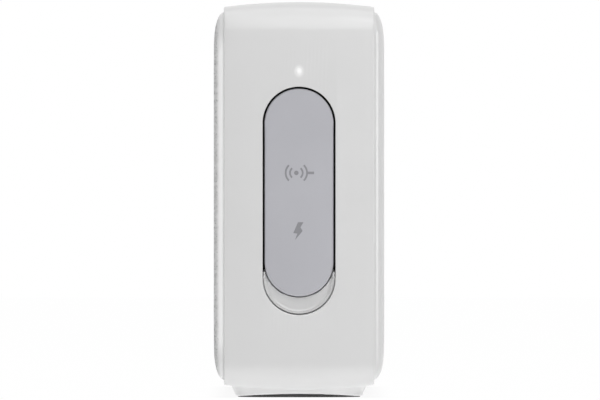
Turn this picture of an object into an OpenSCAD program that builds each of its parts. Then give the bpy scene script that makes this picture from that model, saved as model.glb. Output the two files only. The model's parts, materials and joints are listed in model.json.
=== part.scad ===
// Portable loudspeaker with a crowned outer band, a fabric-covered front,
// a domed rear cover and a rubber port cover in one end.
// The length runs along X, the front faces -Y and the foot stands on Z = 0.

/* [Band] */
// Overall length of the body
body_l = 160; // [150:1:190]
// Height of the band from crown to crown
band_h = 80; // [78:1:95]
// Depth of the band from front edge to rear edge
band_d = 31; // [30:0.5:36]
// Rise of the band's outer face across its depth
band_crown = 1; // [0.6:0.1:1.4]
// Corner radius of the band seen from the front
corner_r = 6; // [5.5:0.5:9]
// Wall of the band at its crown
band_wall = 3; // [2.8:0.1:3.6]

/* [Front and rear panels] */
// Distance of a panel's edge inside the band's edge
panel_inset = 1.1; // [0.9:0.1:1.3]
// How far a panel stands out of the band
panel_bulge = 2.1; // [1.6:0.1:2.4]
// Width of a panel's rounded margin
panel_run = 6.4; // [5.5:0.1:8]
// Depth of a panel's skirt inside the band
skirt_depth = 3; // [2.5:0.1:3.5]
// Thickness of the fabric
fabric_t = 0.5; // [0.3:0.05:0.6]
// Thickness of the grille carrier's face
carrier_t = 1.3; // [1:0.1:1.4]
// Thickness of the rear cover's face
rear_t = 1.8; // [1.5:0.1:2]
// Wall of the panels' skirts
skirt_t = 2.2; // [1.8:0.1:2.4]

/* [Baffle and seals] */
// Thickness of the front baffle
baffle_t = 2.1; // [2:0.1:2.6]
// Thickness of the flat gaskets
gasket_t = 0.5; // [0.3:0.1:0.8]

/* [Foot] */
// Height of the foot under the band's crown
foot_h = 1.6; // [1.5:0.1:2.5]
// Width of the plinth where it meets the band
foot_w = 28.2; // [26:0.2:28.6]
// Setback of the plinth from each end of the body
foot_setback = 9; // [7:0.5:16]
// Corner radius of the plinth seen from below
foot_r = 9; // [5:0.5:12]
// How far the plinth's sides slope inwards
foot_slope = 0.9; // [0.3:0.1:1]
// Height of the rubber pad under the plinth
foot_pad_h = 0.7; // [0.5:0.05:1]
// Height of the pad along its long edges, under the plinth's shallow arch
foot_pad_rim = 0.15; // [0.1:0.05:0.3]
// Distance of the pad's edge inside the plinth's lower edge
foot_pad_inset = 0.5; // [0.3:0.1:1]
// Depth of the plinth's seat in the band
foot_seat = 0.9; // [0.86:0.02:1.2]

/* [Port] */
// Width of the port recess in the end of the band
port_w = 15; // [14.5:0.1:16]
// Height of the port recess
port_h = 47; // [45:0.5:50]
// Height of the recess's centre above the band's centre
port_z = -1; // [-2:0.5:1]
// Gap between the port cover and the recess
cover_gap = 0.4; // [0.3:0.05:0.5]
// Height of the bare finger scoop under the cover
scoop_h = 3.8; // [3:0.1:4.5]
// Thickness of the port cover
cover_t = 2.2; // [2:0.1:2.6]
// Depth of the well behind the end face
well_depth = 7.6; // [7.4:0.1:8.5]
// Wall of the well
well_wall = 1.2; // [1:0.1:1.5]
// Distance of the two sockets from each other
socket_pitch = 12; // [12:0.5:14]
// Bore of the audio socket
aux_bore = 3.6; // [3.55:0.05:3.7]
// Depth of the audio socket's bore
aux_depth = 14; // [13.5:0.1:14.5]
// Height of the status light above the band's centre
light_z = 25.7; // [25.5:0.1:28]
// Diameter of the status light's window
light_d = 1.2; // [1:0.1:1.4]

/* [Buttons] */
// Diameter of a button
button_d = 9; // [8:0.1:9.5]
// Distance between neighbouring buttons
button_pitch = 14; // [13.6:0.1:14.2]
// Travel of a button
button_travel = 0.5; // [0.3:0.05:0.6]
// Depth of a button's top below the band
button_sink = 0.25; // [0.2:0.05:0.4]

/* [Drivers] */
// Distance of each driver's axis from its end of the body
driver_end = 38; // [36:0.5:40]
// Outer diameter of a driver's flange
driver_d = 44; // [43:0.5:46]
// Depth of a driver behind its flange
driver_depth = 17.5; // [17:0.1:18.5]
// Travel of a cone each way
cone_travel = 1.2; // [0.8:0.1:1.4]
// Gap between the passive radiator's frame and each driver
radiator_gap = 4; // [3:0.5:5]
// Height of the passive radiator's frame
radiator_h = 66; // [60:0.5:68]

/* [Electronics] */
// Diameter of the battery cell
cell_d = 18.4; // [18:0.1:18.6]
// Length of the battery cell
cell_l = 65; // [64:0.5:66]
// Thickness of the circuit boards
board_t = 1.2; // [1:0.1:1.4]
// Height of the main board
main_board_h = 39; // [37:0.5:41]

/* [Hidden] */
$fn = 96;
crown_steps = 720;
panel_steps = 64;
e = 0.01;
fit_gap = 0.15;
touch_gap = 0.05;

// The band and its seats
half_l = body_l / 2;
half_h = band_h / 2;
half_d = band_d / 2;
crown_r = (half_d * half_d + band_crown * band_crown) / (2 * band_crown);
z_mid = foot_h + half_h;
cavity_x = half_l - band_wall;
cavity_z = half_h - band_wall;
panel_x = half_l - band_crown - panel_inset;
panel_z = half_h - band_crown - panel_inset;
panel_r = corner_r - band_crown - panel_inset;
panel_over = 0.03;
baffle_y = -half_d + skirt_depth;
baffle_back_y = baffle_y + baffle_t;
front_ledge_y = baffle_back_y + gasket_t;
rear_skirt_y = half_d - skirt_depth;
rear_ledge_y = rear_skirt_y - gasket_t;
rear_inner_y = half_d + panel_bulge - rear_t;
slot_w = 2;
slot_h = 18;
slot_pitch = 4;
slot_row_pitch = slot_h + 3;
slot_columns = floor((panel_x - panel_run) / slot_pitch);

// The foot under the band
foot_l = body_l - 2 * foot_setback;
foot_pad_edge = foot_slope + foot_pad_inset;
foot_pad_w = foot_w - 2 * foot_pad_edge;
foot_arch = foot_pad_h - foot_pad_rim;
foot_arch_r = (foot_pad_w * foot_pad_w / 4 + foot_arch * foot_arch) / (2 * foot_arch);

// The drivers' axes, the radiator between them and the board behind them
driver_x = half_l - driver_end;
driver_r = driver_d / 2;
radiator_w = 2 * (driver_x - driver_r - radiator_gap);

// Screws that tie the baffle, the band and the rear cover together
screw_r = 1.25;
screw_head_r = 2.4;
screw_head_h = 1.3;
boss_r = 3.2;
boss_wall_bite = 0.4;
post_r = 2.6;
boss_x = cavity_x - boss_r + boss_wall_bite;
boss_z = cavity_z - boss_r + boss_wall_bite;
cell_gap = 0.1;
cradle_end_t = 1.4;
cradle_x = cell_l / 2 + cell_gap + cradle_end_t;
cradle_room = 0.8;
mid_boss_x = cradle_x + boss_r + cradle_room;
screw_end_y = rear_skirt_y + 1.8;
case_screw_places = [for (x = [-boss_x, -mid_boss_x, mid_boss_x, boss_x], sz = [-1, 1]) [x, sz * boss_z]];

// Small screws that hold the circuit boards
small_screw_r = 0.8;
small_head_r = 1.7;
small_head_h = 0.9;
small_screw_l = 4.2;

// The port
cover_w = port_w - 2 * cover_gap;
cover_top_z = port_z + port_h / 2 - cover_gap;
cover_bottom_z = port_z - port_h / 2 + scoop_h;
cover_sink = 0.15;
cover_face_x = half_l - cover_sink;
cover_back_x = cover_face_x - cover_t;
cover_crown_drop = cover_w * cover_w / 8 / crown_r;
hinge_z = port_z + port_h / 2 - port_w / 2;
hinge_depth = 0.35 + cover_crown_drop;
hinge_x = cover_face_x - hinge_depth;
hinge_cut = 0.45;
hinge_r = 0.95;
well_floor_x = half_l - well_depth;
well_floor_t = 1.4;
well_back_x = well_floor_x - well_floor_t;
well_w = port_w + 0.6;
well_h = port_h + 0.6;
well_flange_t = 1;
well_flange_w = 0.3;
well_flange_edge = well_wall + well_flange_w;
anchor_z = hinge_z + 3.4;
anchor_stem_r = 2.4;
anchor_neck_r = 1.6;
anchor_barb_r = 2.4;
anchor_barb_l = 1.6;
scoop_ledge_h = 3.9;
scoop_ledge_z = cover_bottom_z + scoop_ledge_h;
scoop_rim_sink = 0.5;
scoop_rim_x = half_l - scoop_rim_sink;
scoop_rim_h = 1;
scoop_rim_z = port_z - port_h / 2 + scoop_rim_h;
scoop_clear = 0.3;
scoop_ledge_x = cover_back_x - 2 * touch_gap;
seal_t = 0.6;
seal_w = 0.8;
seal_r = 3;
seal_wide = cover_w - 1.2;
seal_top_z = hinge_z - 1.1;
seal_bottom_z = scoop_ledge_z + 0.6;
aux_z = port_z + socket_pitch / 2;
usb_z = port_z - socket_pitch / 2;
aux_body = 5.2;
aux_nose_r = 3;
aux_back_wall = 1;
aux_body_h = 6.4;
aux_back_x = well_floor_x - aux_depth - aux_back_wall;
usb_shell_h = 8.94;
usb_shell_t = 3.26;
usb_shell_l = 8;
usb_wall = 0.3;
usb_back_x = well_floor_x - usb_shell_l;
usb_tongue_t = 0.7;
usb_tongue_h = 6.7;
usb_tongue_sink = 0.6;
port_board_y = aux_body / 2;
port_board_x0 = well_floor_x - aux_depth - aux_back_wall - 1.4;
port_board_x1 = well_back_x - 0.2;
port_board_bottom = usb_z - 10;
port_board_top = light_z + 3;
lug_z = 14;
lug_l = 7;
lug_h = 5;
lug_d = 3.6;
lug_x = well_back_x - lug_l / 2;
led_l = 2;
led_h = 2.4;
led_lens_r = 0.9;
led_lens_l = 0.6;
light_sink = 0.1;
light_pipe_x = port_board_x1 + led_lens_l + fit_gap;
light_flange_r = 1.4;
light_flange_t = 1.5;

// The buttons on top
button_hole_r = button_d / 2 + fit_gap;
button_flange_r = button_d / 2 + 1.1;
button_flange_t = 0.8;
button_float = 0.1;
button_stem_r = 1.1;
switch_side = 5;
switch_h = 3;
switch_hole_r = button_stem_r + fit_gap;
stem_reach = 0.6;
stem_room = 0.5;
switch_hole_depth = stem_reach + button_travel + stem_room;
button_flange_z = cavity_z - button_float - button_flange_t;
stem_gap = 2.1;
switch_top_z = button_flange_z - stem_gap;
button_board_z = switch_top_z - switch_h - board_t;
button_top_z = half_h - button_sink;
button_dish = 0.2;
button_dish_r = 30;
button_board_y0 = -6;
button_board_y1 = 8;
button_board_x = 2.5 * button_pitch;
button_post_x = 1.5 * button_pitch;
button_post_y = 5.5;
button_post_r = 2;

// The drivers, measured from the front of the flange backwards
flange_t = 1;
flange_in_r = driver_r - 3.8;
basket_top_r = driver_r - 1.8;
basket_wall = 1.2;
basket_back_r = 13.6;
basket_back_z = -9;
window_w = 9;
window_low_z = -7.6;
window_high_z = -2.2;
pot_r = 11;
pot_in_r = 9;
pot_floor = 1.5;
pot_top_z = basket_back_z - 1;
pot_top_y = baffle_y - pot_top_z;
magnet_r = 7;
top_plate_r = 7.3;
top_plate_t = 2;
former_r = 8.1;
former_t = 0.4;
winding_t = 0.4;
coil_room = 0.8;
coil_low_z = pot_floor - driver_depth + cone_travel + coil_room;
coil_high_z = -6.6;
winding_low_z = -13;
winding_high_z = -9.6;
roll_r = 1.5;
roll_t = 0.5;
roll_path_r = driver_r - 3.3;
roll_lip = 0.9;
roll_lip_t = 0.4;
cone_t = 0.5;
cone_neck_z = -7.1;
cone_neck_r = former_r + 0.02;
cone_lip_r = roll_path_r - 1;
cone_lip_w = 1.3;
spider_z = -8.4;
spider_t = 0.4;
spider_in_r = 11.9;
spider_out_r = 12.9;
spider_start_r = former_r + 0.02;
spider_gap = 0.05;
spider_steps = 8;
spider_rise = 0.35;
cap_r = 9;
cap_rise = 3;
cap_t = 0.4;
cap_ball_r = (cap_r * cap_r + cap_rise * cap_rise) / (2 * cap_rise);
cap_z = cone_neck_z + cone_t + (cap_r - cone_neck_r) * (-cone_t - cone_neck_z)
    / (cone_lip_r - cone_lip_w - cone_neck_r);

// The passive radiator between the drivers
radiator_ring = 2.5;
radiator_roll_r = 1.75;
radiator_plate_t = 1.2;
radiator_bite = 0.7;
radiator_frame_bite = 0.4;
radiator_weight_t = 1;
radiator_weight_w = 10;
radiator_weight_h = 34;
radiator_path_w = radiator_w - 2 * radiator_ring - 2 * radiator_roll_r;
radiator_path_h = radiator_h - 2 * radiator_ring - 2 * radiator_roll_r;
radiator_straight = radiator_path_h - radiator_path_w;

// The boards and the battery
main_board_y = 9.6;
plug_step = 16;
plug_x = driver_x - plug_step;
plug_edge = 7;
main_board_x = plug_x + plug_edge;
main_board_bottom = -13;
main_board_top = main_board_bottom + main_board_h;
main_board_back_y = main_board_y + board_t;
standoff_r = 2.2;
standoff_edge = 4;
standoff_x = main_board_x - standoff_edge;
standoff_zs = [main_board_bottom + standoff_edge, main_board_top - standoff_edge];
plug_w = 6;
plug_d = 4;
plug_h = 5;
plug_z = 5;
cradle_t = 1.2;
cradle_y0 = -6;
cradle_y1 = 10;
cradle_end_h = 15;
cell_y = 2;
cell_z = -cavity_z + cradle_t + cell_gap + cell_d / 2;
cell_top_z = cell_z + cell_d / 2;
cell_cap_l = 1;
cell_cap_r = 4;
saddle_x = 20;
saddle_w = 3;
saddle_h = 6;
lead_r = 0.7;
lead_sides = 8;
lead_rise = 4.3;
lead_out = 1.2;
tag_x = driver_x - 12.5;
battery_plug_z = cell_top_z + lead_rise;
flex_t = 0.3;
flex_w = 8;
flex_z = -6;
flex_lap = 11;
flex_start = 1;
flex_bend = 6;
flex_bend_y = main_board_y - 1.2;
flex_tail = 5;
flex_top_w = 10;
flex_top_lap = 6;
radio_x = -20;
radio_z = 8;
radio_size = [15, 2.2, 12];
amplifier_x = 4;
amplifier_z = 6;
amplifier_size = [9, 1.2, 9];
inductor_x = 5;
inductor_z = -8;
inductor_pitch = 9;
inductor_size = [6, 3, 6];
capacitor_x = 12;
capacitor_z = 2;
capacitor_r = 3.2;
capacitor_h = 7;

// Colours of the working view
shell_grey = [0.84, 0.84, 0.83];
fabric_grey = [0.74, 0.74, 0.75];
rubber_grey = [0.70, 0.70, 0.72];
dark_rubber = [0.22, 0.22, 0.23];
black_plastic = [0.13, 0.13, 0.14];
seal_foam = [0.30, 0.30, 0.31];
board_green = [0.10, 0.36, 0.22];
steel = [0.68, 0.69, 0.71];
copper = [0.74, 0.44, 0.24];
paper = [0.18, 0.18, 0.19];
clear_plastic = [0.95, 0.96, 0.98];
cell_sleeve = [0.16, 0.38, 0.62];

// Shared shapes

// Rectangle with round corners, centred
module rounded_rect(w, h, r) {
    square([w - 2 * r, h], center = true);
    square([w, h - 2 * r], center = true);
    for (sx = [-1, 1], sy = [-1, 1])
        translate([sx * (w / 2 - r), sy * (h / 2 - r)]) circle(r);
}

// Upright pill, centred
module pill(w, h) {
    square([w, h - w], center = true);
    for (s = [-1, 1]) translate([0, s * (h - w) / 2]) circle(w / 2);
}

// Flat ring between two upright pills
module pill_ring(w, h, t) {
    difference() {
        pill(w, h);
        pill(w - 2 * t, h - 2 * t);
    }
}

// Extrudes an outline drawn in X and Z from y0 to y1
module along_y(y0, y1) {
    translate([0, y1, 0]) rotate([90, 0, 0]) linear_extrude(y1 - y0) children();
}

// Extrudes an outline drawn in Y and Z from x0 to x1
module along_x(x0, x1) {
    translate([x0, 0, 0]) rotate([90, 0, 90]) linear_extrude(x1 - x0) children();
}

// Box from its two opposite corners
module block(a, b) {
    translate(a) cube(b - a);
}

// Round bar along Y
module bar_y(r, y0, y1) {
    translate([0, y1, 0]) rotate([90, 0, 0]) cylinder(r = r, h = y1 - y0);
}

// Round bar along X
module bar_x(r, x0, x1) {
    translate([x0, 0, 0]) rotate([0, 90, 0]) cylinder(r = r, h = x1 - x0);
}

// Half of a hollow roll, bulging upwards from the base line
module half_roll(r, t) {
    intersection() {
        difference() {
            circle(r + t / 2);
            circle(r - t / 2);
        }
        translate([-r - t, 0]) square([2 * (r + t), r + t]);
    }
}

// Tube swept along chosen points, with its end caps
function unit(v) = v / norm(v);
function tangent(p, i) = unit(p[min(i + 1, len(p) - 1)] - p[max(i - 1, 0)]);
function side_of(t) = abs(t[2]) < 0.9 ? unit(cross(t, [0, 0, 1])) : unit(cross(t, [1, 0, 0]));
module tube(points, r, sides) {
    rings = [for (i = [0 : len(points) - 1])
        let (t = tangent(points, i), u = side_of(t), v = cross(t, u))
        for (k = [0 : sides - 1])
            points[i] + r * cos(360 * k / sides) * u + r * sin(360 * k / sides) * v];
    last = (len(points) - 1) * sides;
    walls = [for (i = [0 : len(points) - 2], k = [0 : sides - 1])
        let (a = i * sides + k, b = i * sides + (k + 1) % sides)
        each [[a, a + sides, b], [b, a + sides, b + sides]]];
    start_cap = [for (k = [1 : sides - 2]) [0, k, k + 1]];
    end_cap = [for (k = [1 : sides - 2]) [last, last + k + 1, last + k]];
    polyhedron(points = rings, faces = concat(walls, start_cap, end_cap));
}

// Outer band

// Filled outer shape of the band: two crossing crowned bars and four turned corners
module band_body() {
    straight_x = half_l - corner_r;
    straight_z = half_h - corner_r;
    along_x(-straight_x, straight_x) intersection() {
        square([band_d, band_h], center = true);
        translate([0, half_h - crown_r]) circle(crown_r, $fn = crown_steps);
        translate([0, crown_r - half_h]) circle(crown_r, $fn = crown_steps);
    }
    translate([0, 0, -straight_z]) linear_extrude(2 * straight_z) intersection() {
        square([body_l, band_d], center = true);
        translate([half_l - crown_r, 0]) circle(crown_r, $fn = crown_steps);
        translate([crown_r - half_l, 0]) circle(crown_r, $fn = crown_steps);
    }
    for (q = [0 : 3])
        translate([(q == 0 || q == 3 ? 1 : -1) * straight_x, 0, (q < 2 ? 1 : -1) * straight_z])
            rotate([90, 0, 0]) rotate_extrude(angle = 90, start = 90 * q) intersection() {
                translate([0, -half_d]) square([corner_r, band_d]);
                translate([corner_r - crown_r, 0]) circle(crown_r, $fn = crown_steps);
            }
}

// Space inside the band
module cavity(y0, y1) {
    along_y(y0, y1) rounded_rect(2 * cavity_x, 2 * cavity_z, corner_r - band_wall);
}

// Plate with the outline of the front and rear panels, grown outwards by a gap
module panel_plate(gap, y0, y1) {
    along_y(y0, y1) rounded_rect(2 * (panel_x + gap), 2 * (panel_z + gap), panel_r + gap);
}

function button_x(i) = (i - 2) * button_pitch;

module outer_band() color(shell_grey) difference() {
    union() {
        difference() {
            band_body();
            cavity(-half_d - e, half_d + e);
        }
        for (p = case_screw_places)
            translate([p[0], 0, p[1]]) bar_y(boss_r, front_ledge_y, rear_ledge_y);
        for (s = [-1, 1])
            translate([s * button_post_x, button_post_y, button_board_z + board_t])
                cylinder(r = button_post_r, h = cavity_z + boss_wall_bite - button_board_z - board_t);
    }
    panel_plate(fit_gap, -half_d - 1, front_ledge_y);
    panel_plate(fit_gap, rear_ledge_y, half_d + 1);
    for (p = case_screw_places)
        translate([p[0], 0, p[1]]) bar_y(screw_r + fit_gap, front_ledge_y - 1, rear_ledge_y + 1);
    translate([0, 0, port_z]) along_x(cavity_x - 1, half_l + 1) pill(port_w, port_h);
    translate([0, 0, light_z]) bar_x(light_d / 2 + touch_gap, cavity_x - 1, half_l + 1);
    for (i = [0 : 4])
        translate([button_x(i), 0, cavity_z - 1]) cylinder(r = button_hole_r, h = band_wall + 2);
    for (s = [-1, 1])
        translate([s * button_post_x, button_post_y, button_board_z])
            cylinder(r = small_screw_r + touch_gap / 2, h = board_t + small_screw_l);
    translate([0, 0, -half_h - 1]) linear_extrude(1 + foot_seat)
        rounded_rect(foot_l + 2 * touch_gap, foot_w + 2 * touch_gap, foot_r + touch_gap);
}

// Foot

// Plate with round corners whose sides slope inwards towards the bottom
module sloped_plate(l, w, r, slope, z0, z1) {
    along_x(r - l / 2, l / 2 - r)
        polygon([[slope - w / 2, z0], [w / 2 - slope, z0], [w / 2, z1], [-w / 2, z1]]);
    along_y(r - w / 2, w / 2 - r)
        polygon([[slope - l / 2, z0], [l / 2 - slope, z0], [l / 2, z1], [-l / 2, z1]]);
    for (q = [0 : 3])
        translate([(q == 0 || q == 3 ? 1 : -1) * (l / 2 - r), (q < 2 ? 1 : -1) * (w / 2 - r), 0])
            rotate_extrude(angle = 90, start = 90 * q)
                polygon([[0, z0], [r - slope, z0], [r, z1], [0, z1]]);
}

// Long round bar whose top is the arch between the plinth and the pad
module foot_arch_bar(gap) {
    top_z = foot_pad_h - foot_h - half_h - gap;
    along_x(-foot_l, foot_l)
        translate([0, top_z - foot_arch_r]) circle(foot_arch_r, $fn = crown_steps);
}

module foot_plinth() color(shell_grey) difference() {
    sloped_plate(foot_l, foot_w, foot_r, foot_slope, foot_pad_rim - foot_h - half_h, foot_seat - half_h);
    foot_arch_bar(0);
}

module foot_pad() color(dark_rubber) intersection() {
    translate([0, 0, -foot_h - half_h]) linear_extrude(foot_pad_h)
        rounded_rect(foot_l - 2 * foot_pad_edge, foot_pad_w, foot_r - foot_pad_edge);
    foot_arch_bar(touch_gap);
}

// Front and rear panels

// Section of a panel of half width w, lowered by inset and reaching depth into the band. Its margins are quarter
// ellipses that reach a little past the panel's edge, which leaves a narrow upright edge all round.
module panel_section(w, inset, depth) {
    flat = w - panel_run;
    translate([-w, -depth]) square([2 * w, depth]);
    translate([-flat, -depth]) square([2 * flat, depth + panel_bulge - inset]);
    for (s = [-1, 1])
        translate([s * flat, 0])
            scale([panel_run - inset + panel_over, panel_bulge - inset]) circle(1, $fn = panel_steps);
}

// Domed panel standing out of the front of the band, lowered by inset and reaching depth into it
module panel_body(inset, depth) {
    intersection() {
        along_x(-half_l, half_l) translate([-half_d, 0]) rotate(90) panel_section(panel_z, inset, depth);
        translate([0, -half_d, -half_h]) linear_extrude(band_h)
            mirror([0, 1]) panel_section(panel_x, inset, depth);
        panel_plate(-inset, -half_d - panel_bulge - 1, -half_d + depth);
    }
}

// Hollow inside of a panel, open towards the middle of the body
module panel_pocket(face_t) {
    panel_plate(-skirt_t, -half_d - panel_bulge + face_t, baffle_y + 1);
}

module grille_carrier() color(black_plastic) difference() {
    panel_body(fabric_t, skirt_depth);
    panel_pocket(fabric_t + carrier_t);
    for (column = [-slot_columns : slot_columns], row = [-1 : 1])
        translate([column * slot_pitch, 0, row * slot_row_pitch])
            along_y(-half_d - panel_bulge - 1, -half_d + 1) pill(slot_w, slot_h);
}

module grille_fabric() color(fabric_grey) difference() {
    panel_body(0, skirt_depth - touch_gap);
    panel_body(fabric_t, skirt_depth + 1);
}

module rear_cover() color(shell_grey) difference() {
    union() {
        rotate([0, 0, 180]) difference() {
            panel_body(0, skirt_depth);
            panel_pocket(rear_t);
        }
        for (p = case_screw_places)
            translate([p[0], 0, p[1]]) bar_y(post_r, rear_ledge_y, rear_inner_y + boss_wall_bite);
        for (x = [-standoff_x, standoff_x], z = standoff_zs)
            translate([x, 0, z]) bar_y(standoff_r, main_board_y + board_t, rear_inner_y + boss_wall_bite);
    }
    for (p = case_screw_places)
        translate([p[0], 0, p[1]]) bar_y(screw_r + touch_gap / 2, rear_ledge_y - 1, screw_end_y + 0.2);
    for (x = [-standoff_x, standoff_x], z = standoff_zs)
        translate([x, 0, z])
            bar_y(small_screw_r + touch_gap / 2, main_board_y, main_board_y + small_screw_l + 0.2);
}

module rear_gasket() color(seal_foam) difference() {
    panel_plate(0, rear_ledge_y, rear_skirt_y);
    cavity(rear_ledge_y - 1, rear_skirt_y + 1);
}

module baffle_gasket() color(seal_foam) difference() {
    panel_plate(0, baffle_back_y, front_ledge_y);
    cavity(baffle_back_y - 1, front_ledge_y + 1);
}

// Screw with a countersunk head, driven from the front of the baffle
module case_screw(gap) {
    bar_y(screw_r + gap, baffle_y - (gap > 0 ? 1 : 0), screw_end_y);
    translate([0, baffle_y, 0]) rotate([-90, 0, 0])
        cylinder(r1 = screw_head_r + gap, r2 = screw_r + gap, h = screw_head_h);
}

module front_baffle() color(black_plastic) difference() {
    panel_plate(0, baffle_y, baffle_back_y);
    for (p = case_screw_places) translate([p[0], 0, p[1]]) case_screw(touch_gap);
    for (x = [-driver_x, driver_x]) translate([x, 0, 0]) {
        bar_y(driver_r + fit_gap, baffle_y - 1, baffle_y + flange_t);
        bar_y(basket_top_r + fit_gap, baffle_y, baffle_back_y + 1);
    }
    along_y(baffle_y - 1, baffle_y + flange_t)
        pill(radiator_w + 2 * fit_gap, radiator_h + 2 * fit_gap);
    along_y(baffle_y, baffle_back_y + 1)
        pill(radiator_w - 2 * radiator_ring, radiator_h - 2 * radiator_ring);
}

module case_screws() color(steel)
    for (p = case_screw_places) translate([p[0], 0, p[1]]) case_screw(0);

// Port in the end of the band

// Part of the cover's slab between two heights, crowned like the band's end
module cover_slab(z0, z1) {
    intersection() {
        along_x(cover_back_x, half_l)
            translate([0, (cover_top_z + cover_bottom_z) / 2]) pill(cover_w, cover_top_z - cover_bottom_z);
        translate([0, 0, z0]) linear_extrude(z1 - z0) intersection() {
            translate([cover_back_x, -cover_w]) square([cover_t + 1, 2 * cover_w]);
            translate([cover_face_x - crown_r, 0]) circle(crown_r, $fn = crown_steps);
        }
    }
}

// Round bar along the cover's hinge line
module hinge_bar(r) {
    translate([hinge_x, 0, hinge_z]) bar_y(r, -cover_w, cover_w);
}

module port_cover() color(rubber_grey) cover_slab(cover_bottom_z - 1, hinge_z - hinge_cut);

module cover_web() color(rubber_grey) intersection() {
    cover_slab(hinge_z - hinge_cut, hinge_z + 2 * hinge_r);
    hinge_bar(hinge_r);
}

module cover_anchor() color(rubber_grey) {
    difference() {
        cover_slab(hinge_z + hinge_cut, cover_top_z + 1);
        hinge_bar(hinge_r);
    }
    translate([0, 0, anchor_z]) {
        bar_x(anchor_stem_r, well_floor_x, cover_back_x + boss_wall_bite);
        bar_x(anchor_neck_r, well_back_x - e, well_floor_x + e);
        translate([well_back_x, 0, 0]) rotate([0, -90, 0])
            cylinder(r1 = anchor_barb_r, r2 = anchor_neck_r, h = anchor_barb_l);
    }
}

module port_seal() color(dark_rubber)
    along_x(cover_back_x - seal_t, cover_back_x) translate([0, (seal_top_z + seal_bottom_z) / 2])
        difference() {
            rounded_rect(seal_wide, seal_top_z - seal_bottom_z, seal_r);
            rounded_rect(seal_wide - 2 * seal_w, seal_top_z - seal_bottom_z - 2 * seal_w, seal_r - seal_w);
        }

module port_well() color(black_plastic) {
    difference() {
        union() {
            translate([0, 0, port_z]) {
                along_x(well_back_x, cavity_x) pill(well_w + 2 * well_wall, well_h + 2 * well_wall);
                along_x(cavity_x - well_flange_t, cavity_x)
                    pill(well_w + 2 * well_flange_edge, well_h + 2 * well_flange_edge);
            }
            for (s = [-1, 1])
                block([well_back_x - lug_l, port_board_y + board_t, s * lug_z - lug_h / 2],
                    [well_back_x + boss_wall_bite, port_board_y + board_t + lug_d, s * lug_z + lug_h / 2]);
        }
        translate([0, 0, port_z]) along_x(well_floor_x, cavity_x + 1) pill(well_w, well_h);
        translate([0, 0, aux_z]) bar_x(aux_nose_r + touch_gap, well_back_x - 1, well_floor_x + 1);
        translate([0, 0, usb_z]) along_x(well_back_x - 1, well_floor_x + 1)
            pill(usb_shell_t + 2 * touch_gap, usb_shell_h + 2 * touch_gap);
        translate([0, 0, anchor_z]) bar_x(anchor_neck_r + touch_gap, well_back_x - 1, well_floor_x + 1);
        for (s = [-1, 1]) translate([lug_x, 0, s * lug_z])
            bar_y(small_screw_r + touch_gap / 2, port_board_y, port_board_y + small_screw_l + 0.2);
    }
}

// Light insert under the cover: a ledge behind the cover's lower end and a slope for a fingertip
module finger_scoop() color(shell_grey) intersection() {
    translate([0, 0, port_z]) along_x(well_floor_x, half_l)
        pill(port_w - 2 * fit_gap, port_h - 2 * fit_gap);
    along_y(-port_w, port_w) polygon([
        [well_floor_x, port_z - port_h], [scoop_rim_x, port_z - port_h],
        [scoop_rim_x, scoop_rim_z], [scoop_ledge_x, cover_bottom_z - scoop_clear],
        [scoop_ledge_x, scoop_ledge_z], [well_floor_x, scoop_ledge_z]]);
}

module light_pipe() color(clear_plastic) translate([0, 0, light_z]) {
    bar_x(light_d / 2, light_pipe_x, half_l - light_sink);
    bar_x(light_flange_r, cavity_x - light_flange_t, cavity_x);
}

module status_led() color(clear_plastic) {
    block([port_board_x1 - led_l, -led_h / 2, light_z - led_h / 2],
        [port_board_x1, port_board_y, light_z + led_h / 2]);
    translate([0, 0, light_z]) bar_x(led_lens_r, port_board_x1 - e, port_board_x1 + led_lens_l);
}

module aux_socket() color(black_plastic) translate([0, 0, aux_z]) difference() {
    union() {
        block([aux_back_x, -aux_body / 2, -aux_body_h / 2], [well_back_x, aux_body / 2, aux_body_h / 2]);
        bar_x(aux_nose_r, well_back_x - e, well_floor_x);
    }
    bar_x(aux_bore / 2, well_floor_x - aux_depth, well_floor_x + 1);
}

module usb_socket() color(steel) translate([0, 0, usb_z]) {
    along_x(usb_back_x, well_floor_x) pill_ring(usb_shell_t, usb_shell_h, usb_wall);
    along_x(usb_back_x - usb_wall, usb_back_x) pill(usb_shell_t, usb_shell_h);
    for (x = [usb_back_x + 1, usb_back_x + 4.5], s = [-1, 1])
        block([x, usb_shell_t / 2 - usb_wall / 2, s * 2 - 0.5], [x + 1.2, port_board_y, s * 2 + 0.5]);
}

module usb_tongue() color(black_plastic) translate([0, 0, usb_z])
    block([usb_back_x, -usb_tongue_t / 2, -usb_tongue_h / 2],
        [well_floor_x - usb_tongue_sink, usb_tongue_t / 2, usb_tongue_h / 2]);

module port_board() color(board_green) difference() {
    block([port_board_x0, port_board_y, port_board_bottom],
        [port_board_x1, port_board_y + board_t, port_board_top]);
    for (s = [-1, 1]) translate([lug_x, 0, s * lug_z])
        bar_y(small_screw_r + fit_gap, port_board_y - 1, port_board_y + board_t + 1);
}

// Buttons on top

// One button: cap, retaining flange and stem
module button(i) {
    translate([button_x(i), 0, 0]) difference() {
        union() {
            translate([0, 0, switch_top_z - stem_reach])
                cylinder(r = button_stem_r, h = button_flange_z + e - switch_top_z + stem_reach);
            translate([0, 0, button_flange_z]) {
                cylinder(r = button_flange_r, h = button_flange_t);
                cylinder(r = button_d / 2, h = button_top_z - button_flange_z);
            }
        }
        translate([0, 0, button_top_z + button_dish_r - button_dish]) sphere(button_dish_r);
    }
}

module power_button() color(shell_grey) button(0);

module pairing_button() color(shell_grey) button(1);

module volume_down_button() color(shell_grey) button(2);

module play_button() color(shell_grey) button(3);

module volume_up_button() color(shell_grey) button(4);

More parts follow.
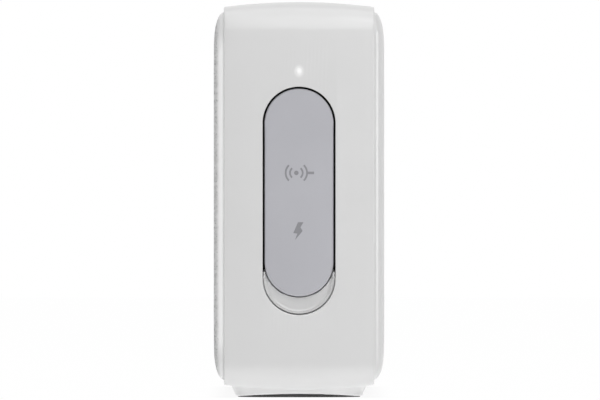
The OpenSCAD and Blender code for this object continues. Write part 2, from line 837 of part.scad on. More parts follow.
module button_switches() color(black_plastic) for (i = [0 : 4])
    translate([button_x(i), 0, switch_top_z]) difference() {
        translate([0, 0, -switch_h / 2]) cube([switch_side, switch_side, switch_h], center = true);
        translate([0, 0, -switch_hole_depth]) cylinder(r = switch_hole_r, h = switch_hole_depth + 1);
    }

module button_board() color(board_green) difference() {
    block([-button_board_x, button_board_y0, button_board_z],
        [button_board_x, button_board_y1, button_board_z + board_t]);
    for (s = [-1, 1]) translate([s * button_post_x, button_post_y, button_board_z - 1])
        cylinder(r = small_screw_r + fit_gap, h = board_t + 2);
}

// Drivers

// Places a shape on a driver's axis with its height pointing forwards
module at_driver(x) {
    translate([x, baffle_y, 0]) rotate([90, 0, 0]) children();
}

module driver_basket(x) color(black_plastic) at_driver(x) difference() {
    rotate_extrude() polygon([
        [flange_in_r, 0], [driver_r, 0], [driver_r, -flange_t], [basket_top_r, -flange_t],
        [basket_back_r, basket_back_z], [basket_back_r, pot_top_z], [pot_in_r, pot_top_z],
        [pot_in_r, basket_back_z], [spider_in_r, basket_back_z], [spider_in_r, spider_z],
        [spider_out_r, spider_z], [basket_top_r - basket_wall, -flange_t], [flange_in_r, -flange_t]]);
    for (a = [45 : 90 : 315]) rotate(a)
        block([basket_back_r, -window_w / 2, window_low_z], [driver_r + 1, window_w / 2, window_high_z]);
}

module driver_pot(x) color(steel) at_driver(x) rotate_extrude() polygon([
    [0, -driver_depth], [pot_r, -driver_depth], [pot_r, pot_top_z], [pot_in_r, pot_top_z],
    [pot_in_r, pot_floor - driver_depth], [0, pot_floor - driver_depth]]);

module driver_magnet(x) color(steel) at_driver(x) rotate_extrude() polygon([
    [0, pot_floor - driver_depth], [magnet_r, pot_floor - driver_depth],
    [magnet_r, pot_top_z - top_plate_t], [top_plate_r, pot_top_z - top_plate_t],
    [top_plate_r, pot_top_z], [0, pot_top_z]]);

module voice_coil(x) color(copper) at_driver(x) rotate_extrude() polygon([
    [former_r - former_t, coil_low_z], [former_r, coil_low_z], [former_r, winding_low_z],
    [former_r + winding_t, winding_low_z], [former_r + winding_t, winding_high_z],
    [former_r, winding_high_z], [former_r, coil_high_z], [former_r - former_t, coil_high_z]]);

module driver_cone(x) color(paper) at_driver(x) rotate_extrude() polygon([
    [cone_neck_r, cone_neck_z], [cone_lip_r - cone_lip_w, -cone_t], [cone_lip_r, -cone_t],
    [cone_lip_r, 0], [cone_lip_r - cone_lip_w, 0], [cone_neck_r, cone_neck_z + cone_t]]);

module dust_cap(x) color(paper) at_driver(x) rotate_extrude() intersection() {
    difference() {
        translate([0, cap_z + cap_rise - cap_ball_r]) circle(cap_ball_r);
        translate([0, cap_z + cap_rise - cap_ball_r]) circle(cap_ball_r - cap_t);
    }
    translate([0, cap_z]) square([cap_r + 1, cap_rise + 1]);
}

module driver_surround(x) color(dark_rubber) at_driver(x) rotate_extrude() {
    translate([roll_path_r, 0]) half_roll(roll_r, roll_t);
    translate([roll_path_r + roll_r, 0]) square([roll_lip, roll_lip_t]);
}

module driver_spider(x) color(copper) at_driver(x) rotate_extrude() polygon(concat(
    [for (i = [0 : spider_steps]) [spider_r(i), spider_z + spider_wave(i)]],
    [for (i = [spider_steps : -1 : 0]) [spider_r(i), spider_z + spider_wave(i) + spider_t]]));

function spider_r(i) = spider_start_r + (spider_out_r - spider_gap - spider_start_r) * i / spider_steps;
function spider_wave(i) = i == 0 || i == spider_steps ? 0 : (i % 2 == 0 ? 0 : spider_rise);

module left_driver_basket() driver_basket(-driver_x);

module right_driver_basket() driver_basket(driver_x);

module left_driver_pot() driver_pot(-driver_x);

module right_driver_pot() driver_pot(driver_x);

module left_driver_magnet() driver_magnet(-driver_x);

module right_driver_magnet() driver_magnet(driver_x);

module left_voice_coil() voice_coil(-driver_x);

module right_voice_coil() voice_coil(driver_x);

module left_driver_cone() driver_cone(-driver_x);

module right_driver_cone() driver_cone(driver_x);

module left_dust_cap() dust_cap(-driver_x);

module right_dust_cap() dust_cap(driver_x);

module left_driver_surround() driver_surround(-driver_x);

module right_driver_surround() driver_surround(driver_x);

module left_driver_spider() driver_spider(-driver_x);

module right_driver_spider() driver_spider(driver_x);

// Passive radiator

module radiator_frame() color(black_plastic)
    along_y(baffle_y, baffle_y + flange_t)
        pill_ring(radiator_w, radiator_h, radiator_ring + radiator_frame_bite);

// Rubber roll around the plate, with a lip on the frame and one on the plate
module radiator_surround() color(dark_rubber) at_driver(0) {
    for (s = [-1, 1]) {
        translate([s * radiator_path_w / 2, radiator_straight / 2, 0]) rotate([90, 0, 0])
            linear_extrude(radiator_straight) half_roll(radiator_roll_r, roll_t);
        translate([0, s * radiator_straight / 2, 0]) rotate_extrude(angle = 180, start = s > 0 ? 0 : 180)
            translate([radiator_path_w / 2, 0]) half_roll(radiator_roll_r, roll_t);
    }
    linear_extrude(roll_lip_t)
        pill_ring(radiator_path_w + 2 * radiator_roll_r + 2 * roll_lip,
            radiator_path_h + 2 * radiator_roll_r + 2 * roll_lip, roll_lip);
    linear_extrude(roll_lip_t)
        pill_ring(radiator_path_w - 2 * radiator_roll_r, radiator_path_h - 2 * radiator_roll_r, roll_lip);
}

module radiator_plate() color(black_plastic) along_y(baffle_y, baffle_y + radiator_plate_t)
    pill(radiator_path_w - 2 * radiator_roll_r + 2 * radiator_bite,
        radiator_path_h - 2 * radiator_roll_r + 2 * radiator_bite);

module radiator_weight() color(steel)
    along_y(baffle_y + radiator_plate_t, baffle_y + radiator_plate_t + radiator_weight_t)
        pill(radiator_weight_w, radiator_weight_h);

// Boards, battery and wiring

module main_board() color(board_green) difference() {
    block([-main_board_x, main_board_y, main_board_bottom],
        [main_board_x, main_board_back_y, main_board_top]);
    for (x = [-standoff_x, standoff_x], z = standoff_zs)
        translate([x, 0, z]) bar_y(small_screw_r + fit_gap, main_board_y - 1, main_board_back_y + 1);
}

module radio_module() color(steel)
    translate([radio_x, main_board_back_y, radio_z]) cube(radio_size);

module amplifier_chip() color(black_plastic)
    translate([amplifier_x, main_board_back_y, amplifier_z]) cube(amplifier_size);

module power_inductors() color(seal_foam) for (i = [0, 1])
    translate([inductor_x + i * inductor_pitch, main_board_back_y, inductor_z]) cube(inductor_size);

module filter_capacitors() color(steel) for (s = [-1, 1])
    translate([s * capacitor_x, 0, capacitor_z]) bar_y(capacitor_r, main_board_y - capacitor_h, main_board_y);

// Plugs on the main board for the two drivers and the battery
module board_connectors() color(clear_plastic) {
    for (s = [-1, 1])
        translate([s * plug_x - plug_w / 2, main_board_y - plug_d, plug_z]) cube([plug_w, plug_d, plug_h]);
    translate([-plug_w / 2, main_board_y - plug_d, battery_plug_z]) cube([plug_w, plug_d, plug_h]);
}

module battery_cell() color(cell_sleeve) translate([0, cell_y, cell_z]) {
    bar_x(cell_d / 2, -cell_l / 2, cell_l / 2 - cell_cap_l);
    bar_x(cell_cap_r, cell_l / 2 - cell_cap_l - e, cell_l / 2);
}

// Upright wall across the battery cradle
module cradle_wall(x, t, h) {
    block([x - t / 2, cradle_y0, -cavity_z], [x + t / 2, cradle_y1, h - cavity_z]);
}

module battery_cradle() color(black_plastic) difference() {
    union() {
        block([-cradle_x, cradle_y0, -cavity_z], [cradle_x, cradle_y1, cradle_t - cavity_z]);
        for (s = [-1, 1]) {
            cradle_wall(s * (cradle_x - cradle_end_t / 2), cradle_end_t, cradle_end_h);
            cradle_wall(s * saddle_x, saddle_w, saddle_h);
        }
    }
    translate([0, cell_y, cell_z])
        bar_x(cell_d / 2 + cell_gap, -cell_l / 2 - cell_gap, cell_l / 2 + cell_gap);
}

module wire_leads() color(dark_rubber) {
    for (s = [-1, 1]) {
        for (k = [0, 1])
            tube([[s * tag_x, pot_top_y + touch_gap, 2 * k + 1],
                [s * tag_x, pot_top_y + lead_out, 2 * k + 1],
                [s * (plug_x + 1.5), main_board_y - plug_d - 3, 2 * k + 4.5],
                [s * plug_x, main_board_y - plug_d - lead_out, 2 * k + 6.8],
                [s * plug_x, main_board_y - plug_d - touch_gap, 2 * k + 6.8]], lead_r, lead_sides);
        tube([[s * 30, cell_y + 1, cell_top_z + 0.75], [s * 22, cell_y + 1.6, cell_top_z + 0.95],
            [s * 10, cell_y + 2.6, cell_top_z + 1.4], [s * 4, main_board_y - plug_d + 1, cell_top_z + 1.9],
            [s * 1.5, main_board_y - plug_d / 2, battery_plug_z - lead_out],
            [s * 1.5, main_board_y - plug_d / 2, battery_plug_z - touch_gap]], lead_r, lead_sides);
    }
}

// Flat cables from the main board to the port board and the button board
module flex_cables() color(copper) {
    port_lap_y = port_board_y + board_t;
    bend_x = port_board_x0 - flex_bend;
    translate([0, 0, flex_z]) linear_extrude(flex_w) polygon([
        [main_board_x - flex_lap, main_board_y - flex_t], [main_board_x + flex_start, main_board_y - flex_t],
        [bend_x, flex_bend_y], [port_board_x0, port_lap_y],
        [port_board_x0 + flex_tail, port_lap_y], [port_board_x0 + flex_tail, port_lap_y + flex_t],
        [port_board_x0 + 0.2, port_lap_y + flex_t], [bend_x + 0.2, flex_bend_y + flex_t],
        [main_board_x + flex_start, main_board_y], [main_board_x - flex_lap, main_board_y]]);
    along_x(-flex_top_w / 2, flex_top_w / 2) polygon([
        [main_board_y, main_board_top - flex_top_lap], [main_board_y, main_board_top],
        [button_board_y1 + 0.6, button_board_z - 1], [button_board_y1 - 0.6, button_board_z],
        [button_board_y1 - flex_tail, button_board_z], [button_board_y1 - flex_tail, button_board_z - flex_t],
        [button_board_y1 - 0.8, button_board_z - flex_t], [button_board_y1 + 0.3, button_board_z - 1.2],
        [main_board_y - flex_t, main_board_top], [main_board_y - flex_t, main_board_top - flex_top_lap]]);
}

// Small screw with a pan head, its head under z = 0 and its thread above
module small_screw() {
    translate([0, 0, -small_head_h]) cylinder(r = small_head_r, h = small_head_h);
    translate([0, 0, -e]) cylinder(r = small_screw_r, h = small_screw_l + e);
}

module board_screws() color(steel) {
    for (s = [-1, 1]) translate([s * button_post_x, button_post_y, button_board_z]) small_screw();
    for (x = [-standoff_x, standoff_x], z = standoff_zs)
        translate([x, main_board_y, z]) rotate([-90, 0, 0]) small_screw();
    for (s = [-1, 1]) translate([lug_x, port_board_y, s * lug_z]) rotate([-90, 0, 0]) small_screw();
}

// Lifts the whole body onto its foot
module standing() {
    translate([0, 0, z_mid]) children();
}

standing() outer_band();
standing() port_well();
standing() port_cover();
standing() cover_web();
standing() cover_anchor();
standing() port_seal();
standing() finger_scoop();
standing() light_pipe();
standing() grille_carrier();
standing() grille_fabric();
standing() rear_cover();
standing() rear_gasket();
standing() front_baffle();
standing() baffle_gasket();
standing() foot_plinth();
standing() foot_pad();
standing() power_button();
standing() pairing_button();
standing() volume_down_button();
standing() play_button();
standing() volume_up_button();
standing() button_board();
standing() button_switches();
standing() left_driver_basket();
standing() right_driver_basket();
standing() left_driver_pot();
standing() right_driver_pot();
standing() left_driver_magnet();
standing() right_driver_magnet();
standing() left_voice_coil();
standing() right_voice_coil();
standing() left_driver_cone();
standing() right_driver_cone();
standing() left_dust_cap();
standing() right_dust_cap();
standing() left_driver_surround();
standing() right_driver_surround();
standing() left_driver_spider();
standing() right_driver_spider();
standing() radiator_frame();
standing() radiator_surround();
standing() radiator_plate();
standing() radiator_weight();
standing() main_board();
standing() radio_module();
standing() amplifier_chip();
standing() power_inductors();
standing() filter_capacitors();
standing() board_connectors();
standing() board_screws();
standing() port_board();
standing() usb_socket();
standing() usb_tongue();
standing() aux_socket();
standing() status_led();
standing() battery_cell();
standing() battery_cradle();
standing() wire_leads();
standing() flex_cables();
standing() case_screws();
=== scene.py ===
# %% [markdown]
# A portable loudspeaker in its finished state. The working parts arrive as a fixed frame of plain solids, and
# this lesson dresses them: the shells, the cloth, the rubber and the keys are modelled again with rounder edges
# and real finishes. It could all be drawn by eye, but then nothing would fit, so every piece takes its place
# from the frame.

# %% Load the frame
import json
from math import asin, cos, pi, radians, sin, sqrt

import bmesh
import bpy
from mathutils import Matrix, Vector

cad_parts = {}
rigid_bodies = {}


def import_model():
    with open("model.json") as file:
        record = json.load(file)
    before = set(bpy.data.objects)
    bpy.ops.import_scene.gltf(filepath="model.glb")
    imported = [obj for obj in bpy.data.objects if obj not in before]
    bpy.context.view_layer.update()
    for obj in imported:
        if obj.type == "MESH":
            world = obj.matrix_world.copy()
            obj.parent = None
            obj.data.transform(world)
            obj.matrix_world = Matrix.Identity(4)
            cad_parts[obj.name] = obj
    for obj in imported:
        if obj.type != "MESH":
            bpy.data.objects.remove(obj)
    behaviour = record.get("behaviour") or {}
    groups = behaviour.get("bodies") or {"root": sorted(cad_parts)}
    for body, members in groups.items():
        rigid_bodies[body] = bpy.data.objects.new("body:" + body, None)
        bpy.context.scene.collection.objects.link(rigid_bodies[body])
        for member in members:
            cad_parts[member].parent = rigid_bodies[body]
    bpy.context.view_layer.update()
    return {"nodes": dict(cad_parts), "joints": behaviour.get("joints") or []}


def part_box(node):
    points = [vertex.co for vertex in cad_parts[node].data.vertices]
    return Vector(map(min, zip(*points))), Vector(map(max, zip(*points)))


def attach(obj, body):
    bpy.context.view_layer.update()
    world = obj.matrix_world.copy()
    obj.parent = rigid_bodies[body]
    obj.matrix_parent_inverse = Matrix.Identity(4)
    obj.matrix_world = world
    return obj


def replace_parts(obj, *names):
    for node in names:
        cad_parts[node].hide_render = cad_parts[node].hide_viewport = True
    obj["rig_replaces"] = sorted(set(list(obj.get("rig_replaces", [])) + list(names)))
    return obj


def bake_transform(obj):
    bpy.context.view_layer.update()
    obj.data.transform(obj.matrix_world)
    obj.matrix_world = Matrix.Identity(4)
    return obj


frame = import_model()
mm = 0.001
band_low, band_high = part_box("outer_band")
half_l = band_high.x
half_d = band_high.y
half_h = (band_high.z - band_low.z) / 2
mid_z = (band_high.z + band_low.z) / 2
print(f"frame: {len(frame['nodes'])} nodes, half sizes {half_l:.4f} {half_d:.4f} {half_h:.4f} m")

# %% [markdown]
# The camera stands straight in front of the port end, as a catalogue photographer would put it. A short lens
# close by would show the sides of the body too, so a long lens far away keeps them nearly parallel. Its focal
# length follows from its distance and from how wide the picture is at the end face.

# %% Camera
scene = bpy.context.scene
scene.view_settings.view_transform = "Standard"
camera_distance = 2500 * mm
picture_width = 123.5 * mm
aim_y = 0.2 * mm
aim_below_middle = 0.83 * mm
camera_data = bpy.data.cameras.new("camera")
camera_data.sensor_width = 36
camera_data.lens = camera_data.sensor_width * camera_distance / picture_width
camera_data.clip_start = 10 * mm
camera = bpy.data.objects.new("camera", camera_data)
camera.location = (half_l + camera_distance, aim_y, mid_z - aim_below_middle)
camera.rotation_euler = (pi / 2, 0, pi / 2)
scene.collection.objects.link(camera)
scene.camera = camera
print(f"camera: {camera_data.lens:.1f} mm lens")

# %% [markdown]
# The studio is a white room. A white world could light everything, but then nothing would have a shape. So the
# world adds only a little light, and its white comes from the light path: only rays of the camera, of gloss and
# of glass see it. Nodes could be added and wired one line at a time. A short helper does both: it adds a node,
# and each of its inputs gets a wire or a plain value.

# %% World
WHITE = (1.0, 1.0, 1.0, 1.0)
room_strength = 0.06


def feed(tree, socket, value):
    """Wires another node's output to a socket, or sets the socket to a plain value."""
    if isinstance(value, bpy.types.NodeSocket):
        tree.links.new(value, socket)
    else:
        socket.default_value = value


def node(tree, kind, inputs=(), output=0, **options):
    """Adds a shader node, feeds its inputs, in order or by name, and gives one of its outputs."""
    made = tree.nodes.new("ShaderNode" + kind)
    for option, value in options.items():
        setattr(made, option, value)
    pairs = inputs.items() if isinstance(inputs, dict) else enumerate(inputs)
    for key, value in pairs:
        feed(tree, made.inputs[key], value)
    return made.outputs[output]


def white_for_the_eye(tree):
    """A value that is 1 for camera, glossy and transmission rays and 0 for all others."""
    path = tree.nodes.new("ShaderNodeLightPath").outputs
    seen = path["Is Camera Ray"]
    for ray in ("Is Glossy Ray", "Is Transmission Ray"):
        seen = node(tree, "Math", [seen, path[ray]], operation="MAXIMUM")
    return seen


world = bpy.data.worlds.new("white_room")
world.use_nodes = True
scene.world = world
room = world.node_tree
even_light = room.nodes["Background"]
even_light.inputs["Color"].default_value = WHITE
even_light.inputs["Strength"].default_value = room_strength
seen_white = node(room, "Background", [WHITE, 1.0])
room_mix = node(room, "MixShader", [white_for_the_eye(room), even_light.outputs[0], seen_white])
feed(room, room.nodes["World Output"].inputs["Surface"], room_mix)
print("world: white to the eye, even light of", room_strength)

# %% [markdown]
# Two soft boxes hang over the port end, a panel over the whole object, and more panels stand at the sides and
# behind. The floor is a light table: one more lamp shines up through it. Spot lamps would be simpler, but only
# wide lamps show as pale bands in the rounded top and bottom of the body, which tell the eye that the corners
# are round. The low panel at the right draws a thin line of light on the rear cover. The panels at the left and
# behind only fill, so gloss doesn't see them.

# %% Lamps
WATTS_PER_SQUARE_METRE = 4
# Name, place, target, size, brightness of the face, seen by gloss. Places and sizes are in metres.
lamp_table = [
    ("soft_box", (0.53, 0.05, 0.38), (0.08, 0.05, 0.05), (0.44, 0.53), 1.55, True),
    ("small_box", (0.26, 0.22, 0.3), (0.08, 0.03, 0.08), (0.2, 0.2), 2.0, True),
    ("top_panel", (0.2, 0, 0.8), (0.2, 0, 0), (0.7, 0.7), 1.1, True),
    ("table_light", (0.22, 0.05, -0.3), (0.22, 0.05, 1), (0.36, 0.2), 4.3, True),
    ("right_panel", (0.125, 0.6, 0.06), (0.125, 0, 0.06), (0.35, 0.14), 3.7, True),
    ("left_panel", (0.15, -0.6, 0.25), (0, 0, 0.05), (0.6, 0.5), 1.25, False),
    ("back_panel", (-0.45, 0, 0.6), (0, 0, 0.05), (0.6, 0.5), 1.6, False),
]
for name, place, target, (width, height), brightness, in_gloss in lamp_table:
    data = bpy.data.lights.new(name, "AREA")
    data.shape = "RECTANGLE"
    data.size = width
    data.size_y = height
    data.energy = WATTS_PER_SQUARE_METRE * brightness * width * height
    lamp = bpy.data.objects.new(name, data)
    lamp.location = place
    lamp.rotation_euler = (Vector(target) - Vector(place)).to_track_quat("-Z", "Y").to_euler()
    lamp.visible_camera = False
    lamp.visible_glossy = in_gloss
    scene.collection.objects.link(lamp)

# %% [markdown]
# The loudspeaker stands on white paper. Lit like the rest, the paper would come out grey beside the white room.
# It could glow white all over, but then the object would float. So it glows for the eye, and keeps a share of
# its own shading: a tenth of it under the foot, where a faint shadow shows, and next to nothing a few
# millimetres away.

# %% Floor
floor_half = 2500 * mm
bm = bmesh.new()
bmesh.ops.create_grid(bm, x_segments=4, y_segments=4, size=floor_half)
floor_mesh = bpy.data.meshes.new("floor")
bm.to_mesh(floor_mesh)
bm.free()
floor = bpy.data.objects.new("floor", floor_mesh)
scene.collection.objects.link(floor)
floor.visible_shadow = False
print("floor: a sheet", 2 * floor_half, "m wide")

# %% Floor paper
paper_grey = (0.65, 0.65, 0.65, 1.0)
white_at_foot = 0.9
white_beyond = 0.994
shadow_reach = 6 * mm
paper = bpy.data.materials.new("floor_paper")
paper.use_nodes = True
tree = paper.node_tree
matt = tree.nodes["Principled BSDF"]
matt.inputs["Base Color"].default_value = paper_grey
matt.inputs["Roughness"].default_value = 0.9
matt.inputs["Specular IOR Level"].default_value = 0.0
foot_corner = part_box("foot_plinth")[1].xy.to_3d()
place = node(tree, "TexCoord", output="Object")
reach = node(tree, "VectorMath", [place], operation="ABSOLUTE")
outside = node(tree, "VectorMath", [reach, foot_corner], operation="SUBTRACT")
beyond = node(tree, "VectorMath", [outside, (0, 0, 0)], operation="MAXIMUM")
away = node(tree, "VectorMath", [beyond], "Value", operation="LENGTH")
whiteness = node(tree, "MapRange", [away, 0, shadow_reach, white_at_foot, white_beyond],
                 interpolation_type="SMOOTHSTEP")
share = node(tree, "Math", [white_for_the_eye(tree), whiteness], operation="MULTIPLY")
paper_mix = node(tree, "MixShader", [share, matt.outputs[0], node(tree, "Emission", [WHITE, 1.0])])
feed(tree, tree.nodes["Material Output"].inputs["Surface"], paper_mix)
floor_mesh.materials.append(paper)
print(f"paper: {white_at_foot} white at the foot, {white_beyond} from {shadow_reach:.3f} m on")

# %% [markdown]
# Most of the object is moulded: pale plastic for the shells, rubber for the port cover, black plastic inside.
# Moulded parts are never one flat colour. The mould is spark-eroded, so the surface has a fine grain that
# breaks up the gloss, and the pigment is a little uneven. Each finish could be wired on its own. Instead one
# function mixes these three effects from noise, and each finish calls it with its own colours and grain. Noise
# on Object coordinates stays fixed to the piece from every side.

# %% Noise and bumps
NOISE_LOW = 0.3
NOISE_HIGH = 0.7


def noise(tree, scale, detail, stretch=(1, 1, 1)):
    """Noise on the piece's own coordinates. Its scale is in waves a metre."""
    place = node(tree, "TexCoord", output="Object")
    stretched = node(tree, "Mapping", {"Vector": place, "Scale": stretch})
    return node(tree, "TexNoise", {"Vector": stretched, "Scale": scale, "Detail": detail}, "Fac")


def ramp(tree, value, stops):
    """A colour ramp with the given (position, colour) stops."""
    made = tree.nodes.new("ShaderNodeValToRGB")
    elements = made.color_ramp.elements
    while len(elements) < len(stops):
        elements.new(0.5)
    for element, (position, colour) in zip(elements, stops):
        element.position = position
        element.color = (*colour, 1.0)
    feed(tree, made.inputs["Fac"], value)
    return made.outputs["Color"]


def spread(tree, value, low, high):
    """Maps the middle of a noise to a range."""
    return node(tree, "MapRange", [value, NOISE_LOW, NOISE_HIGH, low, high])


def bumps(tree, height, depth, strength):
    """Turns a height into a surface normal."""
    return node(tree, "Bump", {"Distance": depth, "Strength": strength, "Height": height}, "Normal")


def grey(level, tint=0.0):
    """A neutral colour, with more or less blue."""
    return (level - tint / 2, level - tint / 2, level + tint)


print("grey 0.6 is", grey(0.6), "and bluish", grey(0.6, 0.02))

# %% Moulded finishes
def moulded(name, dark, light, rough, grain, depth=0.02 * mm, patch=40, metallic=0.0, strength=0.4, gloss=0.5):
    """A surface with uneven pigment, uneven gloss and a fine grain."""
    material = bpy.data.materials.new(name)
    material.use_nodes = True
    tree = material.node_tree
    shader = tree.nodes["Principled BSDF"].inputs
    shader["Metallic"].default_value = metallic
    shader["Specular IOR Level"].default_value = gloss
    fine = noise(tree, grain, 2)
    feed(tree, shader["Base Color"], ramp(tree, noise(tree, patch, 3), [(0.35, dark), (0.65, light)]))
    feed(tree, shader["Roughness"], spread(tree, fine, *rough))
    feed(tree, shader["Normal"], bumps(tree, fine, depth, strength))
    return material


SATIN = 0.005 * mm
shell_plastic = moulded("shell_plastic", grey(0.585), grey(0.60), (0.28, 0.31), 2600, SATIN,
                        strength=0.05, gloss=1.0)
rear_plastic = moulded("rear_plastic", grey(0.60), grey(0.615), (0.28, 0.31), 2600, SATIN,
                       strength=0.06, gloss=0.7)
foot_plastic = moulded("foot_plastic", grey(0.80), grey(0.82), (0.32, 0.34), 2600, SATIN, strength=0.06)
# Near black, blacker than any plastic: painted shade for the walls of the port recess, where the gap round the
# flap is in deep shade.
painted_recess_shade = moulded("painted_recess_shade", grey(0.004), grey(0.008), (0.45, 0.6), 2200)
dark_plastic = moulded("dark_plastic", grey(0.010), grey(0.018), (0.45, 0.6), 1800)
cover_rubber = moulded("cover_rubber", grey(0.405, 0.019), grey(0.423, 0.019), (0.55, 0.7), 3200, 0.03 * mm)
mark_ink = moulded("mark_ink", grey(0.21, 0.01), grey(0.24, 0.01), (0.6, 0.75), 3000)
foot_rubber = moulded("foot_rubber", grey(0.035), grey(0.055), (0.6, 0.8), 1800, 0.05 * mm)
print("moulded finishes:", [m.name for m in bpy.data.materials])

# %% [markdown]
# The outer band is one moulding that runs right round the body like a picture frame. It could be a box with its
# inside cut away, but its outer face is gently crowned, and the crown has to run on round the corners. So the
# wall's section is drawn once and swept: extruded along each straight side and spun round each corner, until it
# closes on itself.

# %% Outer band: section
band_crown = 1 * mm
corner_r = 6 * mm
crown_r = (half_d ** 2 + band_crown ** 2) / (2 * band_crown)
CROWN_STEPS = 40
panel_low, panel_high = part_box("grille_fabric")
panel_half_x = panel_high.x
panel_half_z = (panel_high.z - panel_low.z) / 2
panel_gap = 0.15 * mm
seat_x = panel_half_x + panel_gap
inner_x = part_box("port_well")[1].x
front_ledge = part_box("baffle_gasket")[1].y
rear_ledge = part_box("rear_gasket")[0].y
run_x = half_l - corner_r
run_z = half_h - corner_r
section_z = mid_z - run_z


def points_and_edges(geometry):
    """Sorts what an operator made into points, and the edges that join them."""
    points = [g for g in geometry if isinstance(g, bmesh.types.BMVert)]
    known = set(points)
    edges = [g for g in geometry if isinstance(g, bmesh.types.BMEdge) and known.issuperset(g.verts)]
    return points, edges


bm = bmesh.new()
first = bmesh.ops.create_vert(bm, co=(half_l - band_crown, -half_d, section_z))["vert"]
crown_turn = 2 * asin(half_d / crown_r)
crown_centre = (half_l - crown_r, 0, section_z)
arc = bmesh.ops.spin(bm, geom=first, cent=crown_centre, axis=(0, 0, 1), angle=crown_turn, steps=CROWN_STEPS)
tip = points_and_edges(arc["geom_last"])[0]
for x, y in ((seat_x, half_d), (seat_x, rear_ledge), (inner_x, rear_ledge),
             (inner_x, front_ledge), (seat_x, front_ledge), (seat_x, -half_d)):
    tip = bmesh.ops.extrude_vert_indiv(bm, verts=tip)["verts"]
    tip[0].co = (x, y, section_z)
bm.edges.new((tip[0], first[0]))
print("band section:", len(bm.edges), "edges")

# %% Outer band: sweep
CORNER_STEPS = 16
same_point = 0.001 * mm
edges = list(bm.edges)
for quarter in range(4):
    ahead = Matrix.Rotation(-quarter * pi / 2, 3, "Y") @ Vector((0, 0, 1))
    run = 2 * (run_x if quarter % 2 else run_z)
    points, edges = points_and_edges(bmesh.ops.extrude_edge_only(bm, edges=edges)["geom"])
    bmesh.ops.translate(bm, verts=points, vec=ahead * run)
    corner = (run_x if quarter in (0, 3) else -run_x, 0, mid_z + (run_z if quarter < 2 else -run_z))
    swept = bmesh.ops.spin(bm, geom=points + edges, cent=corner, axis=(0, -1, 0), angle=pi / 2,
                           steps=CORNER_STEPS)
    points, edges = points_and_edges(swept["geom_last"])
bmesh.ops.remove_doubles(bm, verts=bm.verts, dist=same_point)
bmesh.ops.recalc_face_normals(bm, faces=bm.faces)
print("band wall:", len(bm.faces), "faces, closed:", all(len(e.link_faces) == 2 for e in bm.edges))

# %% [markdown]
# The band's two rims meet cloth and rear cover in a fine groove. A moulding has no knife edges, so the rims are
# bevelled. A Bevel modifier would round every edge of the wall, and the operator takes only the rims. Every
# piece then ends the same way, and a helper does it: smooth shading with creases left sharp, a finish, and a
# line in the print. It also sorts the mesh, because some operators leave it in another order each time they
# run.

# %% Outer band: rims
rim_round = 0.25 * mm
rim_angle = 0.5
on_rim = 0.01 * mm


def in_order(bm):
    """Sorts points, edges and faces by place, so that each run writes them in the same order."""
    by_place = sorted(bm.verts, key=lambda v: v.co[:])
    bm.verts.sort(key={v: rank for rank, v in enumerate(by_place)}.get)
    bm.verts.index_update()
    for parts in (bm.edges, bm.faces):
        by_points = sorted(parts, key=lambda part: sorted(v.index for v in part.verts))
        parts.sort(key={part: rank for rank, part in enumerate(by_points)}.get)


def finished(bm, name, finish, crease=35):
    """Makes an object from a bmesh, shades it smooth up to a crease angle and gives it a finish."""
    in_order(bm)
    mesh = bpy.data.meshes.new(name)
    bm.to_mesh(mesh)
    bm.free()
    mesh.shade_smooth()
    mesh.set_sharp_from_angle(angle=radians(crease))
    mesh.materials.append(finish)
    piece = bpy.data.objects.new(name, mesh)
    scene.collection.objects.link(piece)
    print(f"{name}: {len(mesh.vertices)} points, {len(mesh.polygons)} faces")
    return piece


rims = [e for e in bm.edges
        if all(abs(abs(v.co.y) - half_d) < on_rim for v in e.verts) and e.calc_face_angle() > rim_angle]
bmesh.ops.bevel(bm, geom=rims, offset=rim_round, offset_type="OFFSET", affect="EDGES",
                segments=3, profile=0.5, material=-1)
band = finished(bm, "case_band", shell_plastic)

# %% [markdown]
# The band has openings: the port recess, five key holes, a pinhole for the light and a seat for the foot. They
# could be left open in the section's sweep, but none of them follows it. So each is made as a solid tool and
# cut away at the end. The recess is a pill with a rounded mouth, and its walls are painted near black as shade
# for the deep, narrow gap round the flap. Rounded rectangles come up all over the object, so a helper draws
# one:
# it takes a circle and pulls its four quarters apart, which keeps the corners true arcs.

# %% Port opening
port_half_w = 7.5 * mm
port_half_h = 23.5 * mm
scoop_low, scoop_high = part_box("finger_scoop")
scoop_gap = 0.15 * mm
port_z = (scoop_low.z - scoop_gap) + port_half_h
mouth_round = 0.25 * mm
MOUTH_STEPS = 5
through = 1 * mm


def quarter_turn(steps):
    """Angles from 0 to a right angle in even steps."""
    return [pi / 2 * step / steps for step in range(steps + 1)]


def rounded_loop(bm, half_w, half_v, radius, place):
    """Edges of a rounded rectangle, drawn flat and then set in place by a matrix."""
    ring = bmesh.ops.create_circle(bm, segments=4 * CORNER_STEPS, radius=radius)["verts"]
    bmesh.ops.rotate(bm, verts=ring, matrix=Matrix.Rotation(pi / 4 / CORNER_STEPS, 3, "Z"))
    for side in (-1, 1):
        for end in (-1, 1):
            quarter = [v for v in ring if v.co.x * side > 0 and v.co.y * end > 0]
            shift = (side * (half_w - radius), end * (half_v - radius), 0)
            bmesh.ops.translate(bm, verts=quarter, vec=shift)
    bmesh.ops.transform(bm, matrix=place, verts=ring)
    return list(dict.fromkeys(e for v in ring for e in v.link_edges))


def loft(bm, loops, caps=(True, True)):
    """Joins loops one to the next, and closes the ends that caps asks for."""
    for first, second in zip(loops, loops[1:]):
        bmesh.ops.bridge_loops(bm, edges=first + second)
    for loop, wanted in zip((loops[0], loops[-1]), caps):
        if wanted:
            bmesh.ops.edgeloop_fill(bm, edges=loop)
    bmesh.ops.recalc_face_normals(bm, faces=bm.faces)


def facing_x(x, z):
    """Plane across the length at x, with its middle at height z."""
    return Matrix.Translation((x, 0, z)) @ Matrix.Rotation(pi / 2, 4, "Z") @ Matrix.Rotation(pi / 2, 4, "X")


